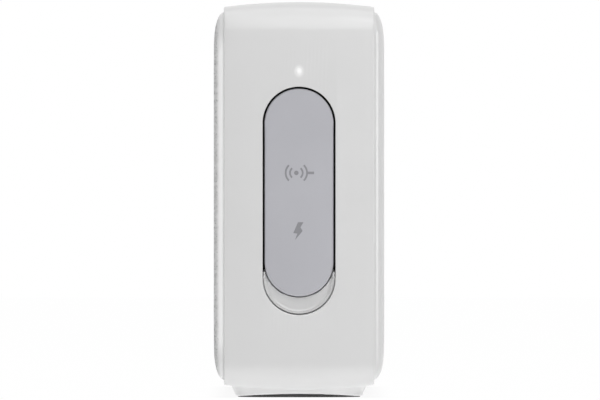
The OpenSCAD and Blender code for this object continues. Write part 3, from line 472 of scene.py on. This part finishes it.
def crowned(bm):
    """Bends a flat shape so that it follows the crown of the band's end."""
    for v in bm.verts:
        v.co.x -= v.co.y ** 2 / (2 * crown_r)


rows = [(0, inner_x - through)]
rows += [(mouth_round * (1 - cos(turn)), half_l - mouth_round * (1 - sin(turn)))
         for turn in quarter_turn(MOUTH_STEPS)]
rows.append((mouth_round, half_l + through))
bm = bmesh.new()
loft(bm, [rounded_loop(bm, port_half_w + out, port_half_h + out, port_half_w + out, facing_x(x, port_z))
          for out, x in rows])
# The recess walls take the painted shade; only the rounded mouth keeps the band's pale plastic.
for face in bm.faces:
    face.material_index = int(face.calc_center_median().x > half_l - mouth_round)
crowned(bm)
port_tool = finished(bm, "port_tool", painted_recess_shade)
port_tool.data.materials.append(shell_plastic)

# %% Holes for keys and light
key_names = ["power", "pairing", "volume_down", "play", "volume_up"]
key_places = {key: sum(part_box(key + "_button"), Vector()) / 2 for key in key_names}
key_r = 4.5 * mm
key_gap = 0.15 * mm
hole_r = key_r + key_gap
light_low, light_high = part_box("light_pipe")
light_z = (light_low.z + light_high.z) / 2
light_r = 0.6 * mm
hole_depth = 10 * mm
KEY_STEPS = 96
PIN_STEPS = 48
bm = bmesh.new()
for key in key_names:
    key_axis = Matrix.Translation((key_places[key].x, 0, mid_z + half_h))
    bmesh.ops.create_cone(bm, cap_ends=True, segments=KEY_STEPS, radius1=hole_r, radius2=hole_r,
                          depth=hole_depth, matrix=key_axis)
light_axis = Matrix.Translation((half_l, 0, light_z)) @ Matrix.Rotation(pi / 2, 4, "Y")
bmesh.ops.create_cone(bm, cap_ends=True, segments=PIN_STEPS, radius1=light_r, radius2=light_r,
                      depth=hole_depth, matrix=light_axis)
hole_tool = finished(bm, "hole_tool", shell_plastic)

# %% Foot seat and cutting
plinth_low, plinth_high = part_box("foot_plinth")
foot_r = 9 * mm
cut_crease = 25


def facing_z(z):
    """Level plane at height z."""
    return Matrix.Translation((0, 0, z))


def cut(piece, *tools):
    """Cuts tools out of a piece and throws the tools away. The cut faces keep the tools' finishes."""
    for tool in tools:
        step = piece.modifiers.new(tool.name, "BOOLEAN")
        step.operation = "DIFFERENCE"
        step.solver = "EXACT"
        step.material_mode = "TRANSFER"
        step.object = tool
    graph = bpy.context.evaluated_depsgraph_get()
    mesh = bpy.data.meshes.new_from_object(piece.evaluated_get(graph))
    piece.modifiers.clear()
    piece.data = mesh
    for tool in tools:
        bpy.data.objects.remove(tool)
    mesh.shade_smooth()
    mesh.set_sharp_from_angle(angle=radians(cut_crease))
    print(f"{piece.name} after cutting: {len(mesh.polygons)} faces")


bm = bmesh.new()
loft(bm, [rounded_loop(bm, plinth_high.x, plinth_high.y, foot_r, facing_z(z)) for z in (0, plinth_high.z)])
cut(band, port_tool, hole_tool, finished(bm, "seat_tool", shell_plastic))
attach(band, "case")
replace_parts(band, "outer_band")

# %% [markdown]
# Front and rear are two shallow pillows. The front one is cloth stretched over a hidden carrier, the rear one
# is the same pale plastic as the band. A pillow could be a plane pushed up in the middle, but its margin has to
# follow the rounded outline, so it is lofted from rounded rectangles that shrink as they rise along an ellipse.
# Their corners grow rounder towards the middle, as stretched cloth does. A Solidify modifier gives the sheet
# its thickness.

# %% Pillow shape
panel_r = 3.9 * mm
panel_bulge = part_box("rear_cover")[1].y - half_d
panel_run = 6.4 * mm
corner_growth = 0.6
MARGIN_STEPS = 16


def facing_y(y):
    """Upright plane along the length at y."""
    return Matrix.Translation((0, y, mid_z)) @ Matrix.Rotation(pi / 2, 4, "X")


def margin_rows(sink):
    """Steps of how far in and how far out a margin goes. Sink is the depth under the panel's surface."""
    return [(sink + (panel_run - sink) * (1 - cos(turn)), (panel_bulge - sink) * sin(turn))
            for turn in quarter_turn(MARGIN_STEPS)]


def pillow(bm, side, depth, sink=0.0):
    """Skin of a panel on the front (side -1) or the rear (side 1), from inside the band to its flat middle."""
    loops = []
    for inset, height in [(sink, -depth)] + margin_rows(sink):
        radius = panel_r + corner_growth * (inset - sink)
        place = facing_y(side * (half_d + height))
        loops.append(rounded_loop(bm, panel_half_x - inset, panel_half_z - inset, radius, place))
    loft(bm, loops, caps=(False, True))
    middle = max(bm.faces, key=lambda face: face.calc_area())
    if middle.normal.y * side < 0:
        bmesh.ops.reverse_faces(bm, faces=bm.faces)


def with_wall(piece, thickness):
    """Gives an open skin a wall on its inner side."""
    wall = piece.modifiers.new("wall", "SOLIDIFY")
    wall.thickness = thickness
    wall.offset = -1
    return piece


print(f"panels: {2 * panel_half_x:.4f} by {2 * panel_half_z:.4f} m, {panel_bulge:.4f} m proud of the band")

# %% [markdown]
# The rear cover is the plain pillow. Its skirt goes into the band and stops on the gasket, so no edge shows
# from behind. It could share the band's finish, but it comes from another mould and is a touch paler and less
# glossy.

# %% Rear cover
rear_wall = 1.8 * mm
skirt_depth = half_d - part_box("rear_gasket")[1].y
bm = bmesh.new()
pillow(bm, 1, skirt_depth)
rear = with_wall(finished(bm, "rear_shell", rear_plastic), rear_wall)
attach(rear, "case")
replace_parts(rear, "rear_cover")

# %% [markdown]
# The cloth is a tight melange knit: grey yarns with darker fibres spun in, so that the grey breaks up into
# specks when you come close. Round the rim it is stretched over the carrier's edge, where it is smoother, and
# a painted highlight makes it paler there, less so towards the top and bottom corners. A picture of cloth would
# show its repeats, so the pattern is worked out instead. Two sines make the little hills of the stitches, a
# long noise makes each yarn's own tone, and a finer one scatters the dark fibres.

# %% Stitches and rim
def measure(tree, axis):
    """The piece's own coordinate along an axis."""
    return node(tree, "SeparateXYZ", [node(tree, "TexCoord", output="Object")], axis)


def stitch_hills(tree, pitch):
    """Height of a fine plain weave in the plane of the front."""
    waves = []
    for axis in ("X", "Z"):
        turn = node(tree, "Math", [measure(tree, axis), 2 * pi / pitch], operation="MULTIPLY")
        waves.append(node(tree, "Math", [turn], operation="SINE"))
    return node(tree, "Math", waves, operation="MULTIPLY")


def along(tree, axis, centre, start, end):
    """Runs from 0 at one distance from a centre to 1 at another, along an axis of the piece."""
    offset = node(tree, "Math", [measure(tree, axis), centre], operation="SUBTRACT")
    away = node(tree, "Math", [offset], operation="ABSOLUTE")
    return node(tree, "MapRange", [away, start, end], interpolation_type="SMOOTHSTEP")


def mixed(tree, first, second, blend="MIX", factor=1.0):
    """Mixes two colours, by a factor or fully."""
    return node(tree, "Mix", {"Factor": factor, "A": first, "B": second}, "Result",
                data_type="RGBA", blend_type=blend)


rim_low = 0.85 * mm
rim_high = 1.7 * mm
corner_start = 29 * mm
corner_end = 34 * mm
print(f"pale rim: up to {rim_low:.5f} m from the band, gone at {rim_high:.5f} m")

# %% Knit finish
stitch_pitch = 0.7 * mm
stitch_height = 0.12 * mm
yarn_scale = 700
yarn_stretch = (0.35, 1, 1.6)
speck_scale = 1500
speck_stretch = (0.5, 1, 1.4)
grille_cloth = bpy.data.materials.new("grille_cloth")
grille_cloth.use_nodes = True
tree = grille_cloth.node_tree
shader = tree.nodes["Principled BSDF"].inputs
shader["Roughness"].default_value = 0.85
shader["Sheen Weight"].default_value = 0.1
shader["Sheen Roughness"].default_value = 0.5
yarns = ramp(tree, noise(tree, yarn_scale, 4, yarn_stretch),
             [(0.34, grey(0.54)), (0.48, grey(0.63)), (0.64, grey(0.72))])
specks = ramp(tree, noise(tree, speck_scale, 3, speck_stretch), [(0.32, grey(0.5)), (0.41, grey(1.0))])
knit = mixed(tree, yarns, specks, "MULTIPLY")
# Painted highlight: near the band the cloth's colour is made paler than the knit, 0.92 at mid-height and 0.76
# towards the top and bottom corners.
corner = along(tree, "Z", mid_z, corner_start, corner_end)
stretched = ramp(tree, corner, [(0.0, grey(0.92)), (1.0, grey(0.76))])
face = along(tree, "Y", 0, half_d + rim_low, half_d + rim_high)
hills = node(tree, "Math", [stitch_hills(tree, stitch_pitch), face], operation="MULTIPLY")
feed(tree, shader["Base Color"], mixed(tree, stretched, knit, factor=face))
feed(tree, shader["Normal"], bumps(tree, hills, stitch_height, 0.7))
print("knit:", len(tree.nodes), "nodes")

# %% [markdown]
# Behind the cloth a black carrier holds it tight and lets the sound out through three rows of slots. The slots
# could each be cut in turn, which is slow. Here all of them are drawn flat as one tool, pushed through the
# sheet and cut away in one go.

# %% Grille carrier
cloth_t = 0.5 * mm
carrier_t = 1.3 * mm
tuck = 2.9 * mm
bm = bmesh.new()
pillow(bm, -1, tuck, cloth_t)
carrier = with_wall(finished(bm, "grille_frame", dark_plastic), carrier_t)

# %% Carrier slots
slot_r = 1 * mm
slot_half = 9 * mm
slot_pitch = 4 * mm
slot_row_pitch = 21 * mm
SLOT_COLUMNS = 17
SLOT_STEPS = 16


def thickened(bm, reach):
    """Extrudes flat faces along a vector into solids."""
    made = bmesh.ops.extrude_face_region(bm, geom=bm.faces[:])["geom"]
    bmesh.ops.translate(bm, verts=points_and_edges(made)[0], vec=reach)
    bmesh.ops.recalc_face_normals(bm, faces=bm.faces)


bm = bmesh.new()
slot_turn = Matrix.Rotation(pi / SLOT_STEPS, 3, "Z")
for column in range(-SLOT_COLUMNS, SLOT_COLUMNS + 1):
    for row in (-1, 0, 1):
        ring = bmesh.ops.create_circle(bm, cap_ends=True, segments=SLOT_STEPS, radius=slot_r)["verts"]
        bmesh.ops.rotate(bm, verts=ring, matrix=slot_turn)
        for v in ring:
            v.co.y += (slot_half - slot_r) * (1 if v.co.y > 0 else -1)
        bmesh.ops.translate(bm, verts=ring, vec=(column * slot_pitch, row * slot_row_pitch, 0))
bmesh.ops.transform(bm, matrix=facing_y(-half_d), verts=bm.verts)
thickened(bm, (0, -2 * panel_bulge, 0))
cut(carrier, finished(bm, "slot_tool", dark_plastic))
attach(carrier, "case")
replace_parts(carrier, "grille_carrier")

# %% [markdown]
# The cloth is one sheet, pulled over the carrier and tucked in behind the band. A cloth simulation would give
# folds, and a stretched cloth has none, so it takes the carrier's shape, half a millimetre further out.

# %% Front cloth
bm = bmesh.new()
pillow(bm, -1, tuck)
cloth = with_wall(finished(bm, "front_cloth", grille_cloth), cloth_t)
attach(cloth, "case")
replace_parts(cloth, "grille_fabric")

# %% [markdown]
# The port cover is one soft rubber moulding: a flap, a thin web that bends as its hinge, and an anchor that
# stays in the body. Modelled as three pieces it would show cracks when it opens. So it is one crowned slab,
# lofted from pills, with extra cuts where it bends and a groove behind the web.

# %% Port cover: slab
flap_low, flap_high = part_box("port_cover")
anchor_low, anchor_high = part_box("cover_anchor")
cover_back = flap_low.x
cover_face = flap_high.x
cover_half_w = flap_high.y
cover_half_h = (anchor_high.z - flap_low.z) / 2
cover_z = (anchor_high.z + flap_low.z) / 2
edge_round = 0.4 * mm
back_round = 0.15 * mm
EDGE_STEPS = 5
rows = [(back_round, cover_back), (0, cover_back + back_round)]
rows += [(edge_round * (1 - cos(turn)), cover_face - edge_round * (1 - sin(turn)))
         for turn in quarter_turn(EDGE_STEPS)]
bm = bmesh.new()
loft(bm, [rounded_loop(bm, cover_half_w - inset, cover_half_h - inset, cover_half_w - inset,
                       facing_x(x, cover_z)) for inset, x in rows])
print(f"port cover: {2 * cover_half_w:.4f} by {2 * cover_half_h:.4f} m")

# %% Port cover: web, crown and stem
hinge = next(j for j in frame["joints"] if j["name"] == "flap_hinge")
hinge_z = hinge["pos_m"][2]
groove_half = 1.0 * mm
groove_web = 0.9 * mm
WEB_STEPS = 10
CROWN_CUTS = 6
on_plane = 0.0001 * mm


def sliced(bm, place, normal):
    """Cuts the whole mesh along a plane and keeps both sides."""
    everything = bm.verts[:] + bm.edges[:] + bm.faces[:]
    bmesh.ops.bisect_plane(bm, geom=everything, dist=on_plane, plane_co=place, plane_no=normal)


for line in range(-CROWN_CUTS, CROWN_CUTS + 1):
    sliced(bm, (0, line * mm, 0), (0, 1, 0))
for step in range(-WEB_STEPS, WEB_STEPS + 1):
    sliced(bm, (0, 0, hinge_z + groove_half * step / WEB_STEPS), (0, 0, 1))
for v in bm.verts:
    off = (v.co.z - hinge_z) / groove_half
    height = (v.co.x - cover_back) / (cover_face - cover_back)
    lift = (cover_face - groove_web - cover_back) * sqrt(max(0, 1 - off ** 2)) * (1 - height)
    v.co.x += lift - height * v.co.y ** 2 / (2 * crown_r)
stem_z = hinge_z + 3.4 * mm
stem_r = 2.6 * mm
stem_tip_r = 2.3 * mm
stem_sunk = 0.5 * mm
well_floor = scoop_low.x
stem_length = cover_back + stem_sunk - well_floor
stem_axis = Matrix.Translation((well_floor + stem_length / 2, 0, stem_z)) @ Matrix.Rotation(pi / 2, 4, "Y")
bmesh.ops.create_cone(bm, cap_ends=True, segments=PIN_STEPS, radius1=stem_r, radius2=stem_tip_r,
                      depth=stem_length, matrix=stem_axis)
cover = finished(bm, "port_cover_rubber", cover_rubber)
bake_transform(cover)
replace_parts(cover, "port_cover", "cover_web", "cover_anchor")
print(f"hinge at z {hinge_z:.4f} m")

# %% [markdown]
# Two small marks are pressed into the flap over the sockets: sound waves with a plug, and a bolt for charging.
# They could be painted by a material, but printed or pressed marks have a thickness that catches the light, so
# each is a thin inlay. Marks are drawn flat and set in place afterwards. Arcs are made by spinning a short bar,
# and the bolt is a polygon of seven corners.

# %% Drawing in the flat
mark_t = 0.12 * mm
mark_proud = 0.015 * mm


def ring_part(bm, centre, radius, width, start, turn, steps):
    """Flat part of a ring, from an angle onwards."""
    spoke = [bm.verts.new((radius + side * width / 2, 0, 0)) for side in (-1, 1)]
    edge = bm.edges.new(spoke)
    bmesh.ops.rotate(bm, verts=spoke, cent=(0, 0, 0), matrix=Matrix.Rotation(start, 3, "Z"))
    bmesh.ops.translate(bm, verts=spoke, vec=centre)
    bmesh.ops.spin(bm, geom=spoke + [edge], cent=centre, axis=(0, 0, 1), angle=turn, steps=steps,
                   use_merge=turn >= 2 * pi)


def outline(bm, corners):
    """Flat polygon from corners in millimetres."""
    bm.faces.new([bm.verts.new((x * mm, y * mm, 0)) for x, y in corners])


def bar(bm, left, right, low, high):
    """Flat upright rectangle from its sides in millimetres."""
    outline(bm, [(left, low), (right, low), (right, high), (left, high)])


print(f"marks: {mark_t:.5f} m thick, {mark_proud:.6f} m proud")

# %% Marks on the flap
mark_drop = 0.25 * mm
WAVE_STEPS = 20
wave_line = 0.38 * mm
dot_r = 0.47 * mm
dot_hole = 0.01 * mm
wave_centre = (-0.55 * mm, 0, 0)


def socket_z(node_name):
    """Height of a socket's axis."""
    low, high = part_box(node_name)
    return (low.z + high.z) / 2


def pressed(bm, name, z):
    """Makes flat marks an inlay in the crowned face of the flap, at a height."""
    thickened(bm, (0, 0, mark_t))
    bmesh.ops.transform(bm, matrix=facing_x(cover_face + mark_proud - mark_t, z), verts=bm.verts)
    crowned(bm)
    mark = finished(bm, name, mark_ink)
    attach(mark, "flap")


bm = bmesh.new()
for radius, half_turn in ((1.3 * mm, radians(48)), (2.2 * mm, radians(46))):
    for side in (0, pi):
        ring_part(bm, wave_centre, radius, wave_line, side - half_turn, 2 * half_turn, WAVE_STEPS)
ring_part(bm, wave_centre, (dot_r + dot_hole) / 2, dot_r - dot_hole, 0, 2 * pi, WAVE_STEPS)
bar(bm, 1.55, 3.1, -0.27, 0.27)
bmesh.ops.remove_doubles(bm, verts=bm.verts, dist=same_point)
pressed(bm, "wave_mark", socket_z("aux_socket") - mark_drop)
bm = bmesh.new()
outline(bm, [(-0.2, 1.85), (0.92, 1.85), (0.3, 0.8), (0.75, 0.05), (-0.85, -1.85), (-0.35, -0.5), (-1.2, -0.4)])
pressed(bm, "bolt_mark", socket_z("usb_socket") - mark_drop)

# %% [markdown]
# Under the flap's round end a fingertip finds a shallow dish, moulded in the pale shell colour. Its outer edge
# follows the recess and its inner edge dives behind the flap, and the two arcs have different centres, so the
# dish is widest in the middle. A turned dish would be the same width all round. So arcs are drawn between the
# two, and bridged.

# %% Dish sizes
dish_gap = 0.28 * mm
dish_depth = 0.7 * mm
dish_run = 1.0 * mm
dish_clear = 0.2 * mm
dish_wall = 0.5 * mm
rim_x = scoop_high.x
rim_r = port_half_w - dish_gap
rim_z = port_z - port_half_h + port_half_w
rim_edge = 0.2 * mm
skirt_x = well_floor + 2 * mm
ledge_x = cover_back - 0.15 * mm
hidden_r = cover_half_w - 0.5 * mm
cover_end_z = flap_low.z + cover_half_w
DISH_STEPS = 24
DISH_EASE = 1.5
print(f"dish: rim radius {rim_r:.5f} m, {dish_depth:.4f} m deep")

# %% Finger dish
def smooth(value):
    """Runs smoothly from 0 to 1."""
    value = min(max(value, 0), 1)
    return value * value * (3 - 2 * value)


def half_arc(bm, radius, x, z):
    """Lower half of a circle across the length, as a chain of edges."""
    start = bmesh.ops.create_vert(bm, co=(x, -radius, z))["vert"]
    known = set(bm.edges)
    bmesh.ops.spin(bm, geom=start, cent=(x, 0, z), axis=(1, 0, 0), angle=pi, steps=3 * CORNER_STEPS)
    return [e for e in bm.edges if e not in known]


bm = bmesh.new()
arcs = [half_arc(bm, rim_r, skirt_x, rim_z), half_arc(bm, rim_r, rim_x - rim_edge, rim_z)]
wall_points = set(bm.verts)
for step in range(DISH_STEPS + 1):
    t = (step / DISH_STEPS) ** DISH_EASE
    radius = rim_r * (1 - t) + hidden_r * t
    arcs.append(half_arc(bm, radius, rim_x, rim_z + (cover_end_z - rim_z) * t))
for v in set(bm.verts) - wall_points:
    inside = rim_r - Vector((v.co.y, v.co.z - rim_z)).length
    clear = Vector((v.co.y, v.co.z - cover_end_z)).length - cover_half_w
    steep = 1 - min(max(inside, 0) / dish_run, 1)
    v.co.x -= dish_depth * (1 - steep ** 2)
    v.co.x = ledge_x + (v.co.x - ledge_x) * smooth(clear / dish_clear)
for first, second in zip(arcs, arcs[1:]):
    bmesh.ops.bridge_loops(bm, edges=first + second)
bmesh.ops.edgeloop_fill(bm, edges=arcs[-1])
bmesh.ops.remove_doubles(bm, verts=bm.verts, dist=same_point)
bmesh.ops.recalc_face_normals(bm, faces=bm.faces)
dish = with_wall(finished(bm, "finger_dish", shell_plastic), dish_wall)
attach(dish, "case")
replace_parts(dish, "finger_scoop")

# %% [markdown]
# Over the flap a pinhole lets out the light of a small lamp. The window is the end of a clear rod, slightly
# domed. Its light also spreads in the pale plastic around it, which is why a real one seems to have a soft
# edge. A lamp in the scene would light other things too, so the window and the band share one faint emission
# that fades round the hole.

# %% Glow
glow_strength = 0.29
glow_reach = 1.3 * mm
glow_height = 1.25 * glow_reach


def add_glow(material):
    """Lets a finish glow round the light's axis, a little taller than wide."""
    tree = material.node_tree
    shader = tree.nodes["Principled BSDF"].inputs
    shader["Emission Color"].default_value = WHITE
    place = node(tree, "TexCoord", output="Object")
    offset = node(tree, "VectorMath", [place, (half_l, 0, light_z)], operation="SUBTRACT")
    shape = (1 / glow_reach, 1 / glow_reach, 1 / glow_height)
    scaled = node(tree, "VectorMath", [offset, shape], operation="MULTIPLY")
    away = node(tree, "VectorMath", [scaled], "Value", operation="LENGTH")
    fade = node(tree, "MapRange", [away, 0, 1, glow_strength, 0], interpolation_type="SMOOTHSTEP")
    feed(tree, shader["Emission Strength"], fade)


band_plastic = shell_plastic.copy()
band_plastic.name = "band_plastic"
window_plastic = moulded("window_plastic", grey(0.62), grey(0.66), (0.28, 0.32), 2600, 0.004 * mm)
for finish in (band_plastic, window_plastic):
    add_glow(finish)
for index, finish in enumerate(band.data.materials):
    if finish == shell_plastic:
        band.data.materials[index] = band_plastic
print("finishes of the band:", [finish.name for finish in band.data.materials])

# %% Status window
NEARLY_ROUND = 0.999
# How wide the window is, as a share of the hole, and where along the length.
window_rows = [(0.99, light_low.x), (0.99, half_l - 0.05 * mm), (0.9, half_l - 0.02 * mm), (0.5, half_l)]
bm = bmesh.new()
loops = []
for share, x in window_rows:
    r = light_r * share
    loops.append(rounded_loop(bm, r, r, r * NEARLY_ROUND, facing_x(x, light_z)))
loft(bm, loops)
window = finished(bm, "status_window", window_plastic)
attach(window, "case")
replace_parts(window, "light_pipe")

# %% [markdown]
# The loudspeaker stands on a low plinth with sloping sides, and the plinth on a rubber pad that keeps it from
# sliding. The plinth is arched underneath, so from the end the pad shows as a thin dark lens. Both could be
# boxes, but then no arch would show. They are lofted from rounded rectangles, cut lengthwise and lifted to the
# arch. A few extra loops round the edges, as on any moulding.

# %% Plinth
pad_low, pad_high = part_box("foot_pad")
foot_slope = 0.9 * mm
soft_edge = 0.5 * mm
arch_half = pad_high.y
arch_gap = 0.05 * mm
arch_rise = pad_high.z + arch_gap - plinth_low.z
ARCH_CUTS = 13


def arched(bm, lifted):
    """Cuts the foot lengthwise and lifts the points that lifted picks to a shallow arch across it."""
    for line in range(-ARCH_CUTS, ARCH_CUTS + 1):
        sliced(bm, (0, line * mm, 0), (0, 1, 0))
    for v in filter(lifted, bm.verts):
        v.co.z += arch_rise * max(0, 1 - (v.co.y / arch_half) ** 2)


rows = [(foot_slope + soft_edge * (1 - sin(turn)), plinth_low.z + soft_edge * (1 - cos(turn)))
        for turn in quarter_turn(EDGE_STEPS)]
rows.append((0, plinth_high.z))
bm = bmesh.new()
loft(bm, [rounded_loop(bm, plinth_high.x - inset, plinth_high.y - inset, foot_r - inset, facing_z(z))
          for inset, z in rows])
arched(bm, lambda v: v.co.z < plinth_low.z + 1.5 * soft_edge)
plinth = finished(bm, "foot_base", foot_plastic)
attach(plinth, "case")
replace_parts(plinth, "foot_plinth")

# %% Pad
pad_r = 7.6 * mm
pad_rim = plinth_low.z - arch_gap
pad_inset = 0.1 * mm
pad_edge = 0.05 * mm
rows = [(pad_inset, pad_low.z), (0, pad_low.z + pad_edge), (0, pad_rim)]
bm = bmesh.new()
loft(bm, [rounded_loop(bm, pad_high.x - inset, pad_high.y - inset, pad_r - inset, facing_z(z))
          for inset, z in rows])
arched(bm, lambda v: v.co.z > pad_rim - on_rim)
pad = finished(bm, "grip_pad", foot_rubber)
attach(pad, "case")
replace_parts(pad, "foot_pad")

# %% [markdown]
# Five round keys sit in the top. Each has a dished cap with a rounded edge, a flange that keeps it from falling
# out and a stem down to its switch. It could be stacked from cylinders, but a turned shape has a smooth
# outline. So half an outline is drawn and spun round.

# %% Keys
key_plastic = moulded("key_plastic", grey(0.60), grey(0.64), (0.42, 0.55), 3000)
key_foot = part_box("play_button")[0].z
key_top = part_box("play_button")[1].z
flange_top = mid_z + half_h - 3.1 * mm
flange_low = flange_top - 0.8 * mm
flange_r = key_r + 1.1 * mm
key_stem_r = 1.1 * mm
key_round = 0.4 * mm
bowl_r = key_r - key_round
bowl_depth = 0.2 * mm
KEY_EDGE_STEPS = 4
BOWL_STEPS = 8


def key_outline():
    """Half section of a key from the foot of its stem to the middle of its bowl."""
    edge = [(key_r - key_round * (1 - cos(turn)), key_top - key_round * (1 - sin(turn)))
            for turn in quarter_turn(KEY_EDGE_STEPS)]
    shares = [1 - step / BOWL_STEPS for step in range(1, BOWL_STEPS + 1)]
    bowl = [(bowl_r * share, key_top - bowl_depth * (1 - share ** 2)) for share in shares]
    return [(0, key_foot), (key_stem_r, key_foot), (key_stem_r, flange_low), (flange_r, flange_low),
            (flange_r, flange_top), (key_r, flange_top), *edge, *bowl]


def turned(bm, half_section, x):
    """Spins half a section of (radius, height) round an upright axis at x."""
    points = [bm.verts.new((x + radius, 0, height)) for radius, height in half_section]
    edges = [bm.edges.new(pair) for pair in zip(points, points[1:])]
    bmesh.ops.spin(bm, geom=points + edges, cent=(x, 0, 0), axis=(0, 0, 1), angle=2 * pi, steps=KEY_STEPS,
                   use_merge=True)
    bmesh.ops.remove_doubles(bm, verts=bm.verts, dist=same_point)
    bmesh.ops.recalc_face_normals(bm, faces=bm.faces)


for key in key_names:
    bm = bmesh.new()
    turned(bm, key_outline(), key_places[key].x)
    cap = finished(bm, key + "_key_cap", key_plastic)
    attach(cap, key + "_key")
    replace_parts(cap, key + "_button")

# %% [markdown]
# Each key carries a common pictogram. A font could draw them, but few have all five, and the shapes are simple.
# They are drawn flat like the marks on the flap, given a thickness, and sunk into the bowl of the key.

# %% Key symbols
SYMBOL_STEPS = 24


def draw_power(bm):
    """Open ring with a bar in the gap."""
    ring_part(bm, (0, 0, 0), 1.3 * mm, 0.4 * mm, radians(125), radians(290), SYMBOL_STEPS)
    bar(bm, -0.2, 0.2, 0.3, 1.8)


def draw_pairing(bm):
    """Two open links and the bar that joins them."""
    for x, start in ((-0.75 * mm, 220), (0.75 * mm, 40)):
        ring_part(bm, (x, 0, 0), 0.85 * mm, 0.36 * mm, radians(start), radians(280), SYMBOL_STEPS)
    bar(bm, -0.7, 0.7, -0.18, 0.18)


def draw_volume_down(bm):
    """Minus."""
    bar(bm, -1.5, 1.5, -0.2, 0.2)


def draw_play(bm):
    """Triangle and two bars."""
    outline(bm, [(-1.5, -1.2), (0.3, 0), (-1.5, 1.2)])
    for x in (0.75, 1.45):
        bar(bm, x - 0.18, x + 0.18, -1.2, 1.2)


def draw_volume_up(bm):
    """Plus."""
    outline(bm, [(-1.5, -0.2), (-0.2, -0.2), (-0.2, -1.5), (0.2, -1.5), (0.2, -0.2), (1.5, -0.2),
                 (1.5, 0.2), (0.2, 0.2), (0.2, 1.5), (-0.2, 1.5), (-0.2, 0.2), (-1.5, 0.2)])


for key, draw in zip(key_names, (draw_power, draw_pairing, draw_volume_down, draw_play, draw_volume_up)):
    bm = bmesh.new()
    draw(bm)
    thickened(bm, (0, 0, mark_t))
    for v in bm.verts:
        v.co.z += key_top - bowl_depth * (1 - v.co.xy.length_squared / bowl_r ** 2) + mark_proud - mark_t
    bmesh.ops.translate(bm, verts=bm.verts, vec=(key_places[key].x, 0, 0))
    symbol = finished(bm, key + "_symbol", mark_ink)
    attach(symbol, key + "_key")

# %% [markdown]
# The parts inside stay as the frame has them, because their shapes are right. They could keep its plain
# colours, but a part of metal or paper looks wrong in plastic. So they get finishes: steel, wound copper, paper
# cones, green boards with tracks under their lacquer. Most are seen only when the body is opened, but the
# sockets and the seal show as soon as the flap is lifted.

# %% Inner finishes
def laminate():
    """Green circuit board with paler tracks under the lacquer."""
    track_green = (0.03, 0.20, 0.09, 1.0)
    track_scale = 260
    track_stretch = (1, 0.2, 3)
    material = moulded("board_laminate", (0.008, 0.07, 0.03), (0.012, 0.10, 0.045), (0.3, 0.45), 900)
    tree = material.node_tree
    colour = tree.nodes["Principled BSDF"].inputs["Base Color"]
    under = colour.links[0].from_socket
    tracks = ramp(tree, noise(tree, track_scale, 0, track_stretch),
                  [(0.46, grey(0.0)), (0.47, grey(1.0)), (0.53, grey(1.0)), (0.54, grey(0.0))])
    feed(tree, colour, mixed(tree, under, track_green, factor=tracks))
    return material


seal_rubber = moulded("seal_rubber", grey(0.03), grey(0.05), (0.65, 0.8), 1500, 0.06 * mm)
cone_paper = moulded("cone_paper", grey(0.02), grey(0.05), (0.75, 0.9), 700, 0.1 * mm, 300)
surround_rubber = moulded("surround_rubber", grey(0.012), grey(0.02), (0.5, 0.65), 1200)
motor_steel = moulded("motor_steel", grey(0.42), grey(0.50), (0.28, 0.4), 1600, metallic=1.0)
socket_steel = moulded("socket_steel", grey(0.55), grey(0.62), (0.28, 0.36), 2400, metallic=1.0)
winding_copper = moulded("winding_copper", (0.62, 0.28, 0.13), (0.72, 0.34, 0.17), (0.28, 0.4), 5000,
                         metallic=1.0)
spider_cloth = moulded("spider_cloth", (0.42, 0.28, 0.10), (0.52, 0.36, 0.15), (0.8, 0.95), 2500, 0.1 * mm)
board_laminate = laminate()
chip_plastic = moulded("chip_plastic", grey(0.015), grey(0.025), (0.5, 0.65), 1500)
connector_plastic = moulded("connector_plastic", (0.62, 0.60, 0.54), (0.68, 0.66, 0.60), (0.35, 0.5), 1500)
cell_sleeve = moulded("cell_sleeve", (0.02, 0.09, 0.24), (0.03, 0.12, 0.30), (0.28, 0.4), 500)
lead_sleeve = moulded("lead_sleeve", (0.30, 0.012, 0.012), (0.36, 0.02, 0.02), (0.4, 0.55), 1500)
flex_film = moulded("flex_film", (0.30, 0.16, 0.03), (0.38, 0.20, 0.05), (0.3, 0.45), 1200)
clear_lamp = moulded("clear_lamp", (0.75, 0.74, 0.55), (0.80, 0.79, 0.62), (0.15, 0.25), 1200)
print("finishes in all:", len(bpy.data.materials))

# %% Dressing the inner parts
inner_finishes = {
    dark_plastic: ["port_well", "front_baffle", "left_driver_basket", "right_driver_basket",
                   "radiator_frame", "radiator_plate", "battery_cradle", "usb_tongue", "aux_socket",
                   "button_switches"],
    seal_rubber: ["port_seal", "rear_gasket", "baffle_gasket"],
    cone_paper: ["left_driver_cone", "right_driver_cone", "left_dust_cap", "right_dust_cap"],
    surround_rubber: ["left_driver_surround", "right_driver_surround", "radiator_surround"],
    spider_cloth: ["left_driver_spider", "right_driver_spider"],
    motor_steel: ["left_driver_pot", "right_driver_pot", "left_driver_magnet", "right_driver_magnet",
                  "radiator_weight", "case_screws", "board_screws", "filter_capacitors", "radio_module"],
    socket_steel: ["usb_socket"],
    winding_copper: ["left_voice_coil", "right_voice_coil"],
    board_laminate: ["main_board", "button_board", "port_board"],
    chip_plastic: ["amplifier_chip", "power_inductors"],
    connector_plastic: ["board_connectors"],
    cell_sleeve: ["battery_cell"],
    lead_sleeve: ["wire_leads"],
    flex_film: ["flex_cables"],
    clear_lamp: ["status_led"],
}
for finish, names in inner_finishes.items():
    for name in names:
        materials = frame["nodes"][name].data.materials
        materials.clear()
        materials.append(finish)
dressed = {name for names in inner_finishes.values() for name in names}
replaced = {name for o in scene.objects for name in o.get("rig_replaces", [])}
print("nodes without a finish:", sorted(set(frame["nodes"]) - dressed - replaced))
